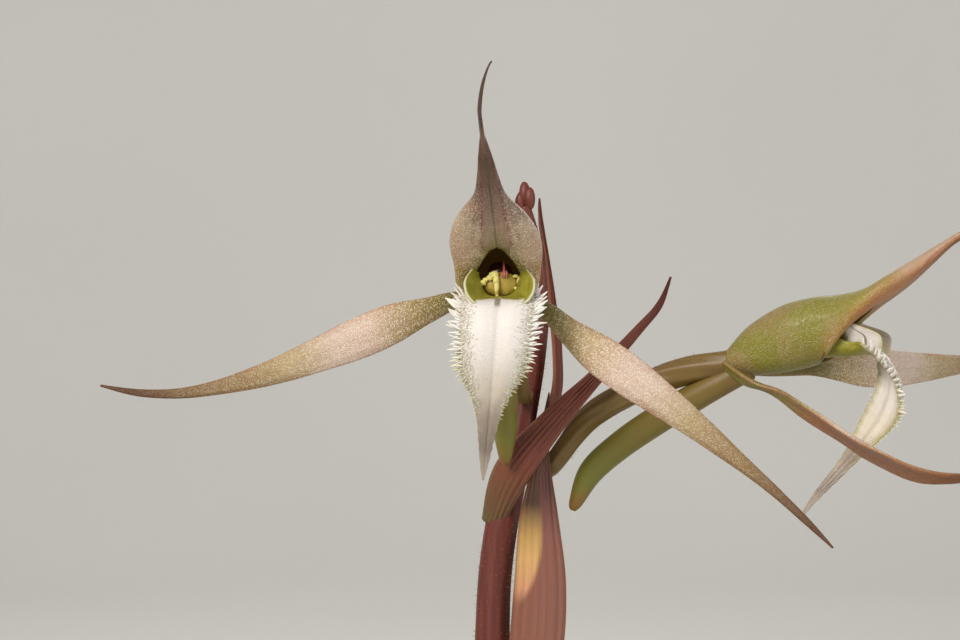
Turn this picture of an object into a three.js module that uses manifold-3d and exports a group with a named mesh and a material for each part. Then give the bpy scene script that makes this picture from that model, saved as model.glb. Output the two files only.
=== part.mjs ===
// A potted terrestrial orchid in flower: a plain clay pot of bark mix, a rootstock with fleshy
// roots, four long-stalked leaves and one tall scape. The scape carries three buds, five open
// flowers and one ripening capsule. Each flower has a hood with a drawn-out tail, two long
// spreading sepals, a spur, and a white lip with a fringed edge.
// Millimetres, +Z up. The origin is the centre of the pot's base.
import * as THREE from 'three';
import Module from 'manifold-3d';

const wasm = await Module();
wasm.setup();

// Driving dimensions
const GAP = 0.35; // clearance between two pieces that touch

const POT = {
  height: 108,
  baseRadius: 43,
  waistRadius: 57,
  rimRadius: 65,
  rimHeight: 25,
  wall: 5.5,
  floor: 6,
  drainRadius: 4.5,
  drainCircle: 24,
  sides: 28,
};

const MIX = { top: 94, mound: 3, lump: 1.7, sides: 28 };

const CROWN = { top: 84, radius: 14, roots: 6, rootLength: 44, rootRadius: 2.8 };

const STALK_HOLE_TOP = 112;
const PETIOLE = { circle: 9, radius: 2.4, neckRadius: 1.7 };

// The scape's own line: x, y, z and radius
const SCAPE_LINE = [
  [0, 0, CROWN.top + GAP, 2.5],
  [0.2, 0.3, 112, 2.5],
  [2.0, 2.5, 190, 2.4],
  [5.5, 3.0, 270, 2.3],
  [11.0, 2.0, 335, 2.2],
  [15.8, 0.6, 380, 2.0],
  [16.9, 0.2, 400, 1.9],
  [19.2, 0, 413, 1.65],
  [21.2, 0, 424, 1.35],
  [21.8, 0.3, 433, 1.1],
  [20.2, 0.8, 441, 0.7],
];

const SHEATHS = [
  { base: 118, length: 34, side: 200 },
  { base: 158, length: 32, side: 40 },
  { base: 198, length: 30, side: 250 },
  { base: 238, length: 28, side: 90 },
  { base: 274, length: 24, side: 310 },
];

// A leaf's midrib goes out along its bearing: distance from the pot's axis, then height
const LEAVES = [
  {
    bearing: 172,
    wide: 29,
    twist: 8,
    petiole: [[9, 112], [13, 146], [22, 184], [33, 212]],
    blade: [[33, 212], [50, 243], [73, 265], [99, 271], [122, 261], [139, 240]],
  },
  {
    bearing: 38,
    wide: 27,
    twist: -10,
    petiole: [[9, 112], [12, 142], [19, 176], [29, 205]],
    blade: [[29, 205], [42, 236], [63, 259], [88, 268], [111, 261], [129, 243]],
  },
  {
    bearing: 262,
    wide: 25,
    twist: 14,
    petiole: [[9, 112], [14, 136], [24, 162], [36, 181]],
    blade: [[36, 181], [54, 201], [76, 213], [99, 213], [119, 202], [134, 184]],
  },
  {
    bearing: 318,
    wide: 19,
    twist: -16,
    petiole: [[9, 112], [12, 130], [18, 150], [26, 168]],
    blade: [[26, 168], [38, 187], [55, 201], [74, 205], [92, 199], [105, 187]],
  },
];

// Share of a leaf's greatest half width, from its base to its tip
const LEAF_SHAPE = [0.06, 0.4, 0.72, 0.93, 1, 0.97, 0.86, 0.68, 0.45, 0.2, 0.015];


// A bract's midline from its node: outward, sideways and up, in millimetres
const BRACT_LINE = [
  [-1.0, 1.2, -5.8],
  [0.9, 4.0, 0.0],
  [5.9, 4.6, 5.8],
  [11.2, 4.8, 11.0],
  [16.2, 5.1, 16.2],
  [18.8, 5.6, 19.0],
  [20.3, 6.4, 22.0],
];
const BRACT_WIDTH = [2.6, 4.2, 3.0, 1.7, 0.9, 0.7, 0.6];

// The same, kept close to the flower's stalk
const HUGGING_BRACT = [
  [-1.0, 1.2, -5.8],
  [0.4, 3.6, -0.6],
  [2.6, 3.9, 5.2],
  [5.4, 3.4, 10.6],
  [8.2, 2.8, 15.6],
  [10.0, 2.3, 19.4],
  [11.0, 2.2, 22.0],
];

// The capsule's bract stands up
const UPRIGHT_BRACT = [
  [0.4, 1.2, -6],
  [3.2, 4.1, 2],
  [5.6, 4.6, 10],
  [6.3, 4.6, 18],
  [6.2, 4.4, 26],
  [6.6, 4.6, 33],
  [7.4, 5.2, 40],
];
const UPRIGHT_WIDTH = [3.4, 5.4, 6.0, 5.8, 4.2, 1.6, 0.6];

// A flower's mouth is its reach out from its node and its rise above it.
// A side sepal's pose: the knee where it comes free of the tube (x out, y, z forward), then how
// many degrees it droops and how many it points forward, at five points from knee to tip.
const OPEN_WIDE = [35, 8, 3, 2, 0];
const HALF_OPEN = [38, 28, 22, 16, 10];
const FLOWERS = [
  {
    name: 'flower_1',
    node: 419.4,
    reach: 36.5,
    rise: 12.2,
    bearing: -95.2,
    facing: -90,
    left: { knee: [4.3, -1.5, -3.6], droop: [18, 23, 20, 8, -14], forward: OPEN_WIDE },
    right: { knee: [4.5, -2.5, -3.6], droop: [42, 36, 38, 41, 46], forward: OPEN_WIDE },
    sway: -1.9,
    spurSwing: 0.8,
    bract: { side: 1, line: HUGGING_BRACT },
  },
  {
    name: 'flower_2',
    node: 410.8,
    reach: 37.6,
    rise: 15.4,
    bearing: -19,
    facing: -17,
    left: { knee: [3.4, -6.2, -6.2], droop: [42, 38, 26, 3, -12], forward: [50, 48, 46, 42, 38] },
    right: { knee: [4.4, -3.4, -4.4], droop: [4, 0, -3, -3, 0], forward: [48, 42, 36, 30, 24] },
    sway: 0.6,
    spurSwing: 1.8,
    lipTurn: 70,
    bract: { side: -1 },
  },
  {
    name: 'flower_3',
    node: 353,
    reach: 36,
    rise: 14.5,
    bearing: 196,
    facing: 200,
    left: { knee: [4.4, -2.4, -4], droop: [30, 32, 34, 26, 8], forward: HALF_OPEN },
    right: { knee: [4.4, -2.0, -4], droop: [22, 24, 22, 10, -8], forward: OPEN_WIDE },
    sway: 1.2,
    spurSwing: 1.0,
    bract: { side: 1 },
  },
  {
    name: 'flower_4',
    node: 329,
    reach: 35,
    rise: 14,
    bearing: 66,
    facing: 62,
    left: { knee: [4.4, -2.2, -4], droop: [26, 28, 24, 12, -4], forward: OPEN_WIDE },
    right: { knee: [4.4, -2.6, -4], droop: [36, 38, 38, 30, 16], forward: HALF_OPEN },
    sway: -0.9,
    spurSwing: -0.8,
    bract: { side: -1 },
  },
  {
    name: 'flower_5',
    node: 303,
    reach: 37,
    rise: 15,
    bearing: -58,
    facing: -62,
    left: { knee: [4.4, -2.0, -4], droop: [20, 24, 26, 20, 4], forward: OPEN_WIDE },
    right: { knee: [4.4, -2.6, -4], droop: [32, 34, 30, 18, 0], forward: HALF_OPEN },
    sway: 0.8,
    spurSwing: 0.9,
    bract: { side: 1 },
  },
];

// The hood, from the ovary to the tail, in a flower's own axes: x to its side, y up, z forward,
// from the middle of its mouth. Each row holds a half section's four Bezier points: on the back's
// midline, out from it, out at the front, and at the front edge. The front edges meet in front
// except at the mouth, which is rows 4 to 7 and starts at MOUTH_ROW.
const HOOD = [
  [[0, -1.3, -12.4], [2.0, -1.3, -12.4], [2.0, -4.1, -12.2], [0, -4.1, -12.2]],
  [[0, 1.3, -10.0], [3.7, 1.3, -9.8], [3.6, -4.3, -9.2], [0, -4.3, -9.0]],
  [[0, 3.5, -6.3], [5.3, 3.7, -6.0], [5.1, -4.1, -5.6], [0, -4.0, -5.5]],
  [[0, 4.4, -2.8], [5.8, 4.8, -2.6], [5.4, -3.9, -2.4], [0, -3.6, -2.6]],
  [[0, 4.6, -0.4], [6.2, 5.1, -0.2], [5.0, -3.0, -0.2], [3.5, -3.1, -1.2]],
  [[0, 4.8, 1.0], [6.5, 5.4, 1.2], [4.7, -1.1, 1.4], [4.0, -1.2, 0.2]],
  [[0, 5.0, 2.2], [6.4, 5.8, 2.2], [5.3, 0.9, 3.0], [3.5, 1.0, 1.2]],
  [[0, 5.3, 3.3], [6.2, 6.3, 3.2], [5.6, 2.5, 4.8], [1.8, 2.7, 2.8]],
  [[0, 6.0, 4.6], [5.7, 7.2, 4.5], [5.3, 4.4, 7.0], [0.3, 3.6, 4.3]],
  [[0, 7.2, 6.2], [4.6, 8.2, 6.3], [4.3, 6.2, 9.0], [0.3, 5.4, 7.0]],
  [[0, 8.8, 8.6], [2.9, 9.4, 8.8], [2.5, 8.1, 10.9], [0.3, 7.7, 9.6]],
  [[0, 10.4, 11.2], [1.8, 10.8, 11.4], [1.6, 10.1, 12.6], [0.3, 9.8, 12.0]],
  [[0, 12.0, 13.7], [1.2, 12.1, 13.8], [1.1, 11.7, 14.6], [0.25, 11.4, 14.4]],
  [[0, 13.6, 15.8], [0.6, 13.6, 15.8], [0.5, 13.2, 16.2], [0.2, 13.2, 16.2]],
];
const MOUTH_ROW = 4;
const TAIL = [[13.0, 15.5], [15.0, 17.4], [17.0, 18.9], [18.9, 19.9], [20.4, 20.4]];

// The lip in the same axes: each row holds a half section's three Bezier points, at the middle,
// part way out and at the edge. It starts as a green channel round the column, turns over at the
// mouth and hangs.
const LIP = [
  [[0, -2.6, -6.6], [1.4, -2.6, -6.6], [1.5, -1.4, -6.6]],
  [[0, -2.2, -3.4], [1.85, -2.15, -3.4], [2.15, -0.6, -3.4]],
  [[0, -1.9, -0.8], [2.35, -2.2, -0.8], [2.5, 0.3, -1.0]],
  [[0, -1.7, 1.5], [2.4, -2.15, 1.6], [2.5, -0.45, 1.4]],
  [[0, -1.6, 3.4], [2.2, -1.8, 3.6], [3.4, -0.6, 2.8]],
  [[0, -2.5, 5.0], [2.5, -2.2, 5.2], [3.8, -1.6, 3.8]],
  [[0, -4.4, 5.8], [2.5, -4.3, 6.2], [3.7, -3.8, 4.9]],
  [[0, -6.6, 5.6], [2.3, -6.5, 6.1], [3.45, -6.2, 5.1]],
  [[0, -8.8, 4.7], [2.0, -8.7, 5.2], [3.0, -8.6, 4.4]],
  [[0, -11.0, 3.2], [1.3, -10.9, 3.7], [1.9, -10.8, 3.0]],
  [[0, -13.2, 1.4], [0.8, -13.1, 1.7], [1.15, -13.0, 1.3]],
  [[0, -15.4, -0.6], [0.6, -15.3, -0.4], [0.8, -15.3, -0.6]],
  [[0, -17.4, -2.4], [0.4, -17.4, -2.3], [0.5, -17.4, -2.4]],
  [[0, -19.3, -3.8], [0.1, -19.3, -3.8], [0.15, -19.3, -3.8]],
];
const FRINGE = { first: 4.2, last: 9.9, teeth: 11, length: 1.7 };
const LIP_SWAY = [-0.15, -1.7];

const SEPAL_LENGTH = 38;
const SEPAL_WIDTH = [1.6, 2.5, 3.8, 4.0, 3.4, 2.7, 2.0, 1.3, 0.95, 0.8, 0.5];
const THICK = 0.62; // of a petal, sepal or bract

const CAPSULE = { node: 380, bearing: -4 };
const BUDS = [
  { node: 427.5, bearing: 158, length: 10.5 },
  { node: 433, bearing: 205, length: 10 },
  { node: 435, bearing: 110, length: 6 },
];

const COLOURS = {
  clay: { color: 0xb4663f, roughness: 0.9 },
  mix: { color: 0x4a3324, roughness: 1 },
  root: { color: 0xc9b48c, roughness: 0.8 },
  leaf: { color: 0x3f5f2c, roughness: 0.4 },
  scape: { color: 0x7d4330, roughness: 0.6 },
  perianth: { color: 0xbfa67c, roughness: 0.5 },
  lip: { color: 0xf3ebe2, roughness: 0.5 },
  column: { color: 0xd6c45a, roughness: 0.5 },
  bud: { color: 0x98914a, roughness: 0.5 },
  capsule: { color: 0x9a8b42, roughness: 0.6 },
};

// Small maths
const radians = (degrees) => (degrees * Math.PI) / 180;
const point = ([x, y, z]) => new THREE.Vector3(x, y, z);
const bearingVector = (degrees) =>
  new THREE.Vector3(Math.cos(radians(degrees)), Math.sin(radians(degrees)), 0);

// A smooth value at t, from 0 to 1, through evenly spaced rows of numbers
function glide(rows, t) {
  const last = rows.length - 1;
  const at = Math.min(Math.max(t, 0), 1) * last;
  const i = Math.min(Math.floor(at), last - 1);
  const f = at - i;
  const pick = (k) => rows[Math.min(Math.max(k, 0), last)];
  const [a, b, c, d] = [pick(i - 1), pick(i), pick(i + 1), pick(i + 2)];
  return b.map((_, n) => {
    const slope = c[n] - a[n];
    const bend = 2 * a[n] - 5 * b[n] + 4 * c[n] - d[n];
    const twist = 3 * b[n] - a[n] - 3 * c[n] + d[n];
    return b[n] + 0.5 * f * (slope + f * (bend + f * twist));
  });
}

const glideNumber = (values, t) => glide(values.map((value) => [value]), t)[0];

// Turns lists of corners and triangles into a solid
function solidFrom(corners, triangles) {
  return new wasm.Manifold(
    new wasm.Mesh({
      numProp: 3,
      vertProperties: new Float32Array(corners.flatMap((p) => [p.x, p.y, p.z])),
      triVerts: new Uint32Array(triangles.flat()),
    }),
  );
}

// A solid skinned over closed rings with the same number of points, its ends closed by a fan
function skin(rings) {
  const n = rings[0].length;
  const corners = rings.flat();
  const triangles = [];
  for (let i = 0; i + 1 < rings.length; i++) {
    for (let j = 0; j < n; j++) {
      const a = i * n + j;
      const b = i * n + ((j + 1) % n);
      triangles.push([a, b, b + n], [a, b + n, a + n]);
    }
  }
  const closeEnd = (ring, start, flip) => {
    const middle = corners.length;
    const mean = ring.reduce((sum, p) => sum.add(p), new THREE.Vector3());
    corners.push(mean.divideScalar(n));
    for (let j = 0; j < n; j++) {
      const pair = [start + j, start + ((j + 1) % n)];
      triangles.push(flip ? [middle, pair[1], pair[0]] : [middle, pair[0], pair[1]]);
    }
  };
  closeEnd(rings[0], 0, true);
  closeEnd(rings[rings.length - 1], (rings.length - 1) * n, false);
  return turnedOut(solidFrom(corners, triangles), corners, triangles);
}

// The same solid with its faces pointing out
function turnedOut(solid, corners, triangles) {
  if (solid.volume() > 0) return solid;
  return solidFrom(corners, triangles.map(([a, b, c]) => [a, c, b]));
}

// A round solid along rows of x, y, z and radius
function tube(rows, steps, sides) {
  const rings = [];
  let across = null;
  for (let i = 0; i <= steps; i++) {
    const [x, y, z, radius] = glide(rows, i / steps);
    const ahead = point(glide(rows, Math.min((i + 0.5) / steps, 1)));
    const behind = point(glide(rows, Math.max((i - 0.5) / steps, 0)));
    const along = ahead.sub(behind).normalize();
    across ??= new THREE.Vector3(along.z, along.x, along.y).cross(along);
    across.addScaledVector(along, -across.dot(along)).normalize();
    const up = new THREE.Vector3().crossVectors(along, across);
    const ring = [];
    for (let j = 0; j < sides; j++) {
      const turn = (2 * Math.PI * j) / sides;
      const p = new THREE.Vector3(x, y, z);
      p.addScaledVector(across, radius * Math.cos(turn));
      ring.push(p.addScaledVector(up, radius * Math.sin(turn)));
    }
    rings.push(ring);
  }
  return skin(rings);
}

// A thin curved solid: place(t, v) gives its middle surface, t along it and v across, -1 to 1.
// Both faces are split into triangles alike.
function blade(place, stations, across, thickness) {
  const nudge = 0.002;
  const faces = [[], []];
  for (const t of stations) {
    for (let j = 0; j <= across; j++) {
      const v = -1 + (2 * j) / across;
      const middle = place(t, v);
      const low = Math.max(t - nudge, 0);
      const along = place(Math.min(t + nudge, 1), v, t).sub(place(low, v, t));
      const sideways = place(t, Math.min(v + nudge, 1)).sub(place(t, Math.max(v - nudge, -1)));
      const lift = along.cross(sideways).normalize().multiplyScalar(thickness / 2);
      faces[0].push(middle.clone().add(lift));
      faces[1].push(middle.clone().sub(lift));
    }
  }
  const corners = faces.flat();
  const n = across + 1;
  const half = faces[0].length;
  const triangles = [];
  const quad = (a, b, c, d) => triangles.push([a, b, c], [a, c, d]);
  for (let i = 0; i + 1 < stations.length; i++) {
    for (let j = 0; j < across; j++) {
      const a = i * n + j;
      quad(a, a + 1, a + 1 + n, a + n);
      triangles.push([a + half, a + 1 + n + half, a + 1 + half]);
      triangles.push([a + half, a + n + half, a + 1 + n + half]);
    }
    const left = i * n;
    const right = left + across;
    quad(left, left + n, left + n + half, left + half);
    quad(right + n, right, right + half, right + n + half);
  }
  const end = (stations.length - 1) * n;
  for (let j = 0; j < across; j++) {
    quad(j + 1, j, j + half, j + 1 + half);
    quad(end + j, end + j + 1, end + j + 1 + half, end + j + half);
  }
  return turnedOut(solidFrom(corners, triangles), corners, triangles);
}

const evenly = (count) => Array.from({ length: count + 1 }, (_, i) => i / count);
const join = (solids) => wasm.Manifold.union(solids);

// The largest single body of a solid: drops a speck closed in where thin blades cross
const wholeBody = (solid) =>
  solid.decompose().reduce((best, each) => (each.volume() > best.volume() ? each : best));

// Puts a solid into the scene as a named mesh with its own material
function mesh(name, solid, finish) {
  const { vertProperties, triVerts } = solid.getMesh();
  const geometry = new THREE.BufferGeometry();
  geometry.setAttribute('position', new THREE.BufferAttribute(vertProperties, 3));
  geometry.setIndex(new THREE.BufferAttribute(triVerts, 1));
  geometry.computeVertexNormals();
  const material = new THREE.MeshStandardMaterial({ ...COLOURS[finish], metalness: 0 });
  const made = new THREE.Mesh(geometry, material);
  made.name = name;
  return made;
}

// A round solid of revolution from a closed profile of radius and height
function turned(profile, sides) {
  const geometry = new THREE.LatheGeometry(
    profile.map(([radius, height]) => new THREE.Vector2(radius, height)),
    sides,
  );
  geometry.rotateX(Math.PI / 2);
  const position = geometry.getAttribute('position');
  const rows = profile.length;
  const corners = [];
  const number = [];
  for (let i = 0; i < sides; i++) {
    for (let j = 0; j < rows; j++) {
      const onAxis = profile[j][0] === 0;
      if (onAxis && i > 0) {
        number.push(number[j]);
        continue;
      }
      number.push(corners.length);
      corners.push(new THREE.Vector3().fromBufferAttribute(position, i * rows + j));
    }
  }
  const triangles = [];
  for (let i = 0; i < sides; i++) {
    for (let j = 0; j + 1 < rows; j++) {
      const a = number[i * rows + j];
      const b = number[((i + 1) % sides) * rows + j];
      const c = number[((i + 1) % sides) * rows + j + 1];
      const d = number[i * rows + j + 1];
      if (a !== b) triangles.push([a, b, c]);
      if (c !== d) triangles.push([a, c, d]);
    }
  }
  return turnedOut(solidFrom(corners, triangles), corners, triangles);
}

// Pot
function innerRadius(height) {
  const rise = (height - POT.floor) / (POT.height - POT.floor);
  return POT.baseRadius - 4.5 + rise * (POT.rimRadius - POT.wall - POT.baseRadius + 4.5);
}

function pot() {
  const rimBase = POT.height - POT.rimHeight;
  const body = turned(
    [
      [0, 0],
      [POT.baseRadius - 1.5, 0],
      [POT.baseRadius, 1.5],
      [POT.waistRadius, rimBase],
      [POT.rimRadius - 3.2, rimBase + 1.2],
      [POT.rimRadius, POT.height - 2],
      [POT.rimRadius - 1.2, POT.height],
      [innerRadius(POT.height) + 1, POT.height],
      [innerRadius(POT.height - 2), POT.height - 2],
      [innerRadius(POT.floor + 2), POT.floor + 2],
      [innerRadius(POT.floor) - 2, POT.floor],
      [0, POT.floor],
    ],
    POT.sides,
  );
  const drains = [90, 210, 330].map((bearing) => {
    const at = bearingVector(bearing).multiplyScalar(POT.drainCircle);
    const low = [at.x, at.y, -1, POT.drainRadius];
    return tube([low, [at.x, at.y, POT.floor + 1, POT.drainRadius]], 1, 10);
  });
  return body.subtract(join(drains));
}

// Rootstock: a knobbly crown with fleshy roots. grow widens it, for its hollow in the mix.
function rootstock(grow) {
  const { top, radius, roots, rootLength, rootRadius } = CROWN;
  const crown = tube(
    [
      [0, 0, top - 24 - grow, 4 + grow],
      [0, 0, top - 16, 9 + grow],
      [0, 0, top - 8, radius + grow],
      [0, 0, top + grow, radius - 0.5 + grow],
    ],
    3,
    12,
  );
  const limbs = [];
  for (let k = 0; k < roots; k++) {
    const out = bearingVector((360 / roots) * k + 12 + 17 * Math.sin(2.4 * k));
    const reach = rootLength * (0.62 + 0.1 * Math.cos(3.1 * k));
    const row = (share, drop, width) => {
      const at = out.clone().multiplyScalar(reach * share);
      return [at.x, at.y, top - drop, width * rootRadius + grow];
    };
    const tip = row(1.05, 62 + grow, 0.45);
    limbs.push(tube([row(0.12, 12, 0.9), row(0.6, 18, 1.1), row(0.95, 38, 1), tip], 4, 6));
  }
  return join([crown, ...limbs]);
}

// Potting mix: fills the pot, lumpy on top, hollow for the rootstock, with a hole for each stalk
function pottingMix() {
  const rings = [];
  const ring = (radius, height) => {
    const points = [];
    for (let j = 0; j < MIX.sides; j++) {
      const turn = (2 * Math.PI * j) / MIX.sides;
      const spot = new THREE.Vector3(radius * Math.cos(turn), radius * Math.sin(turn), 0);
      spot.z = typeof height === 'number' ? height : height(spot);
      points.push(spot);
    }
    rings.push(points);
  };
  const lumpy = (spot) => {
    const edge = innerRadius(MIX.top) - GAP;
    const rise = MIX.mound * (1 - (spot.length() / edge) ** 2);
    const lumps =
      Math.sin(0.53 * spot.x + 1.3) * Math.cos(0.47 * spot.y) +
      Math.sin(0.31 * spot.x - 0.44 * spot.y) * Math.cos(0.61 * spot.x + 0.2 * spot.y);
    return MIX.top + rise + 0.5 * MIX.lump * lumps;
  };
  const floor = POT.floor + GAP;
  ring(innerRadius(floor) - 2 - GAP, floor);
  ring(innerRadius(floor + 2) - GAP, floor + 2);
  ring(innerRadius(MIX.top - 4) - GAP, MIX.top - 4);
  const edge = innerRadius(MIX.top - 2) - GAP;
  for (const share of [1, 0.86, 0.7, 0.52, 0.34, 0.1]) ring(edge * share, lumpy);
  const holes = [{ x: 0, y: 0, radius: SCAPE_LINE[0][3] }];
  for (const { bearing } of LEAVES) {
    const at = bearingVector(bearing).multiplyScalar(PETIOLE.circle);
    holes.push({ x: at.x, y: at.y, radius: PETIOLE.radius });
  }
  const shafts = holes.map(({ x, y, radius }) => {
    const wide = radius + 0.6;
    return tube([[x, y, CROWN.top - 3, wide], [x, y, STALK_HOLE_TOP, wide]], 1, 8);
  });
  return skin(rings).subtract(join([rootstock(GAP), ...shafts]));
}

// Leaf: a petiole that becomes the midrib under an oval, folded, slightly waved blade
function leaf({ bearing, wide, twist, petiole, blade: midrib }) {
  const out = bearingVector(bearing);
  const across = bearingVector(bearing + 90);
  const onBearing = ([reach, height]) => [out.x * reach, out.y * reach, height];
  const rib = midrib.map(onBearing);
  const place = (t, v) => {
    const at = point(glide(rib, t));
    const ahead = point(glide(rib, Math.min(t + 0.01, 1)));
    const along = ahead.sub(point(glide(rib, Math.max(t - 0.01, 0)))).normalize();
    const side = across.clone().applyAxisAngle(along, radians(twist * t));
    const up = new THREE.Vector3().crossVectors(along, side);
    const half = wide * glideNumber(LEAF_SHAPE, t);
    const wave = 1.1 * Math.sin(17 * t + 2 * Math.sign(v)) * v * v * Math.sin(Math.PI * t);
    const fold = half * (0.42 * Math.abs(v) - 0.2 * v * v) + wave;
    return at.addScaledVector(side, half * v * 0.95).addScaledVector(up, fold);
  };
  const lamina = blade(place, evenly(13), 6, 0.9);
  const stalk = [[PETIOLE.circle, CROWN.top + GAP], [PETIOLE.circle, 98]].concat(petiole);
  const stalkRows = stalk.map((pair, i) => {
    const share = i / (stalk.length - 1);
    const radius = PETIOLE.radius + (PETIOLE.neckRadius - PETIOLE.radius) * share;
    return [...onBearing(pair), radius];
  });
  const keel = midrib.slice(1, 3).map(([reach, height], i) => {
    return [...onBearing([reach, height - 0.7 + 0.5 * i]), 1.4 - 0.6 * i];
  });
  return join([lamina, tube(stalkRows.concat(keel), 11, 6)]);
}

// The scape's middle and radius at a height
function scapeAt(height) {
  let low = 0;
  let high = 1;
  for (let i = 0; i < 40; i++) {
    const t = (low + high) / 2;
    if (glide(SCAPE_LINE, t)[2] < height) low = t;
    else high = t;
  }
  const [x, y, z, radius] = glide(SCAPE_LINE, low);
  return { centre: new THREE.Vector3(x, y, z), radius };
}

// A sheath wraps the scape and ends in a slanted point on one side
function sheath({ base, length, side }) {
  const rings = [0, 0.5, 1].map((share) => {
    const ring = [];
    for (let j = 0; j < 8; j++) {
      const turn = 45 * j;
      const reach = (0.5 + 0.5 * Math.cos(radians(turn - side))) ** 2;
      const height = base + share * length * (0.5 + 0.5 * reach);
      const { centre, radius } = scapeAt(height);
      const width = radius + 0.35 + 0.5 * Math.sin(Math.PI * share) + 0.2 * share;
      ring.push(centre.addScaledVector(bearingVector(turn), width).setZ(height));
    }
    return ring;
  });
  return skin(rings);
}

// A bract: a pointed blade that stands beside its flower's stalk, rooted in the scape
function bract({ node, bearing, side, line = BRACT_LINE, width = BRACT_WIDTH }) {
  const out = bearingVector(bearing);
  const aside = bearingVector(bearing + 90).multiplyScalar(side);
  const rows = line.map(([reach, offset, rise]) => {
    const { centre } = scapeAt(node + Math.min(rise, 0));
    centre.addScaledVector(out, reach).addScaledVector(aside, offset);
    return [centre.x, centre.y, node + rise];
  });
  const place = (t, v) => {
    const at = point(glide(rows, t));
    const along = point(glide(rows, Math.min(t + 0.02, 1)));
    along.sub(point(glide(rows, Math.max(t - 0.02, 0)))).normalize();
    const across = new THREE.Vector3().crossVectors(along, aside).normalize();
    const half = glideNumber(width, t) / 2;
    at.addScaledVector(across, half * v);
    return at.addScaledVector(aside, -0.35 * half * v * v);
  };
  return blade(place, evenly(9), 2, THICK);
}

function scape() {
  const bracts = FLOWERS.map((flower) => bract({ ...flower, ...flower.bract }));
  bracts.push(
    bract({
      node: CAPSULE.node,
      bearing: CAPSULE.bearing,
      side: -1,
      line: UPRIGHT_BRACT,
      width: UPRIGHT_WIDTH,
    }),
  );
  return join([tube(SCAPE_LINE, 26, 8), ...SHEATHS.map(sheath), ...bracts]);
}

// A flower's own frame: its group sits at the middle of the mouth, z forward and y up
function flowerFrame({ node, reach, rise, bearing, facing }) {
  const frame = new THREE.Group();
  const { centre } = scapeAt(node);
  frame.position.copy(centre).addScaledVector(bearingVector(bearing), reach);
  frame.position.z = centre.z + rise;
  const axes = new THREE.Matrix4().makeBasis(
    bearingVector(facing + 90),
    new THREE.Vector3(0, 0, 1),
    bearingVector(facing),
  );
  frame.quaternion.setFromRotationMatrix(axes);
  frame.updateMatrixWorld();
  return frame;
}

// A half section's point at share, 0 on the midline and 1 at the edge
function bezier(points, share) {
  const rest = 1 - share;
  const weights =
    points.length === 4
      ? [rest ** 3, 3 * rest * rest * share, 3 * rest * share * share, share ** 3]
      : [rest * rest, 2 * rest * share, share * share];
  const sum = new THREE.Vector3();
  points.forEach((p, i) => sum.addScaledVector(point(p), weights[i]));
  return sum;
}

const sectionAt = (rows, t) => {
  const flat = glide(rows.map((row) => row.flat()), t);
  return rows[0].map((_, i) => flat.slice(3 * i, 3 * i + 3));
};

// How far the hood leans to one side, growing towards its tip
const leanAt = (sway, y) => sway * Math.min(Math.max(y - 2, 0) / 14, 1) ** 1.15;

function hoodRing(row, sway) {
  const section = sectionAt(HOOD, row / (HOOD.length - 1));
  const ring = [];
  for (let j = 0; j <= 8; j++) {
    const v = -1 + j / 4;
    const p = bezier(section, Math.abs(v));
    const x = Math.max(Math.abs(v) === 1 ? 0.2 : 0, p.x);
    ring.push(new THREE.Vector3(x * Math.sign(v) + leanAt(sway, p.y), p.y, p.z));
  }
  return ring;
}

// The hollow of the hood: its rings drawn in by a wall's thickness. At the mouth each ring also
// runs out between the hood's front edges, which leaves them standing.
function throat(sway) {
  const wall = 0.65;
  const inset = (p, centre, amount) => {
    return p.clone().addScaledVector(centre.clone().sub(p).normalize(), amount);
  };
  const rings = [];
  for (const row of [1.3, 2, 3, 4, 5, 6, 7, 7.5]) {
    const ring = hoodRing(row, sway);
    const centre = ring.reduce((sum, p) => sum.add(p), new THREE.Vector3()).divideScalar(9);
    const open = row >= MOUTH_ROW;
    const drawn = ring.map((p) => inset(p, centre, wall));
    const outer = [0, 8].map((end) => {
      if (!open) return drawn[end].clone();
      const edge = ring[end].clone();
      edge.x -= 0.12 * Math.sign(end - 4);
      drawn[end] = inset(edge, centre, 0.45);
      return edge.add(new THREE.Vector3(0, -1.5, 1.5));
    });
    rings.push([outer[0], ...drawn, outer[1]]);
  }
  return skin(rings);
}

// A side sepal's midline: off the ovary's top, along the tube, then free in a drooping curve
function sepalLine(side, { knee, droop, forward }) {
  const root = new THREE.Vector3(side * 1.2, -3.2, -12.6);
  const at = new THREE.Vector3(side * knee[0], knee[1], knee[2]);
  const between = root.clone().lerp(at, 0.5).add(new THREE.Vector3(side * 0.5, -0.2, -0.3));
  const rows = [root.toArray(), between.toArray(), at.toArray()];
  const steps = 10;
  for (let i = 0; i < steps; i++) {
    const t = (i + 0.5) / steps;
    const down = radians(glideNumber(droop, t));
    const ahead = radians(glideNumber(forward, t));
    const stride = new THREE.Vector3(
      side * Math.cos(down) * Math.cos(ahead),
      -Math.sin(down) * Math.cos(ahead),
      Math.sin(ahead),
    );
    at.addScaledVector(stride, SEPAL_LENGTH / steps);
    rows.push(at.toArray());
  }
  return rows;
}

function sideSepal(side, pose) {
  const rows = sepalLine(side, pose);
  const bound = 2 / (rows.length - 1); // the share that lies along the tube
  const front = new THREE.Vector3(0, 0, 1);
  const place = (t, v) => {
    const at = point(glide(rows, t));
    const along = point(glide(rows, Math.min(t + 0.02, 1)));
    along.sub(point(glide(rows, Math.max(t - 0.02, 0)))).normalize();
    const face = front.clone().addScaledVector(along, -front.dot(along)).normalize();
    const across = new THREE.Vector3().crossVectors(face, along);
    const free = Math.max(t - bound, 0) / (1 - bound);
    const half = glideNumber(SEPAL_WIDTH, free) / 2;
    at.addScaledVector(across, half * v);
    return at.addScaledVector(face, 0.22 * half * (1 - v * v));
  };
  return blade(place, evenly(13), 2, THICK);
}

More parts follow.
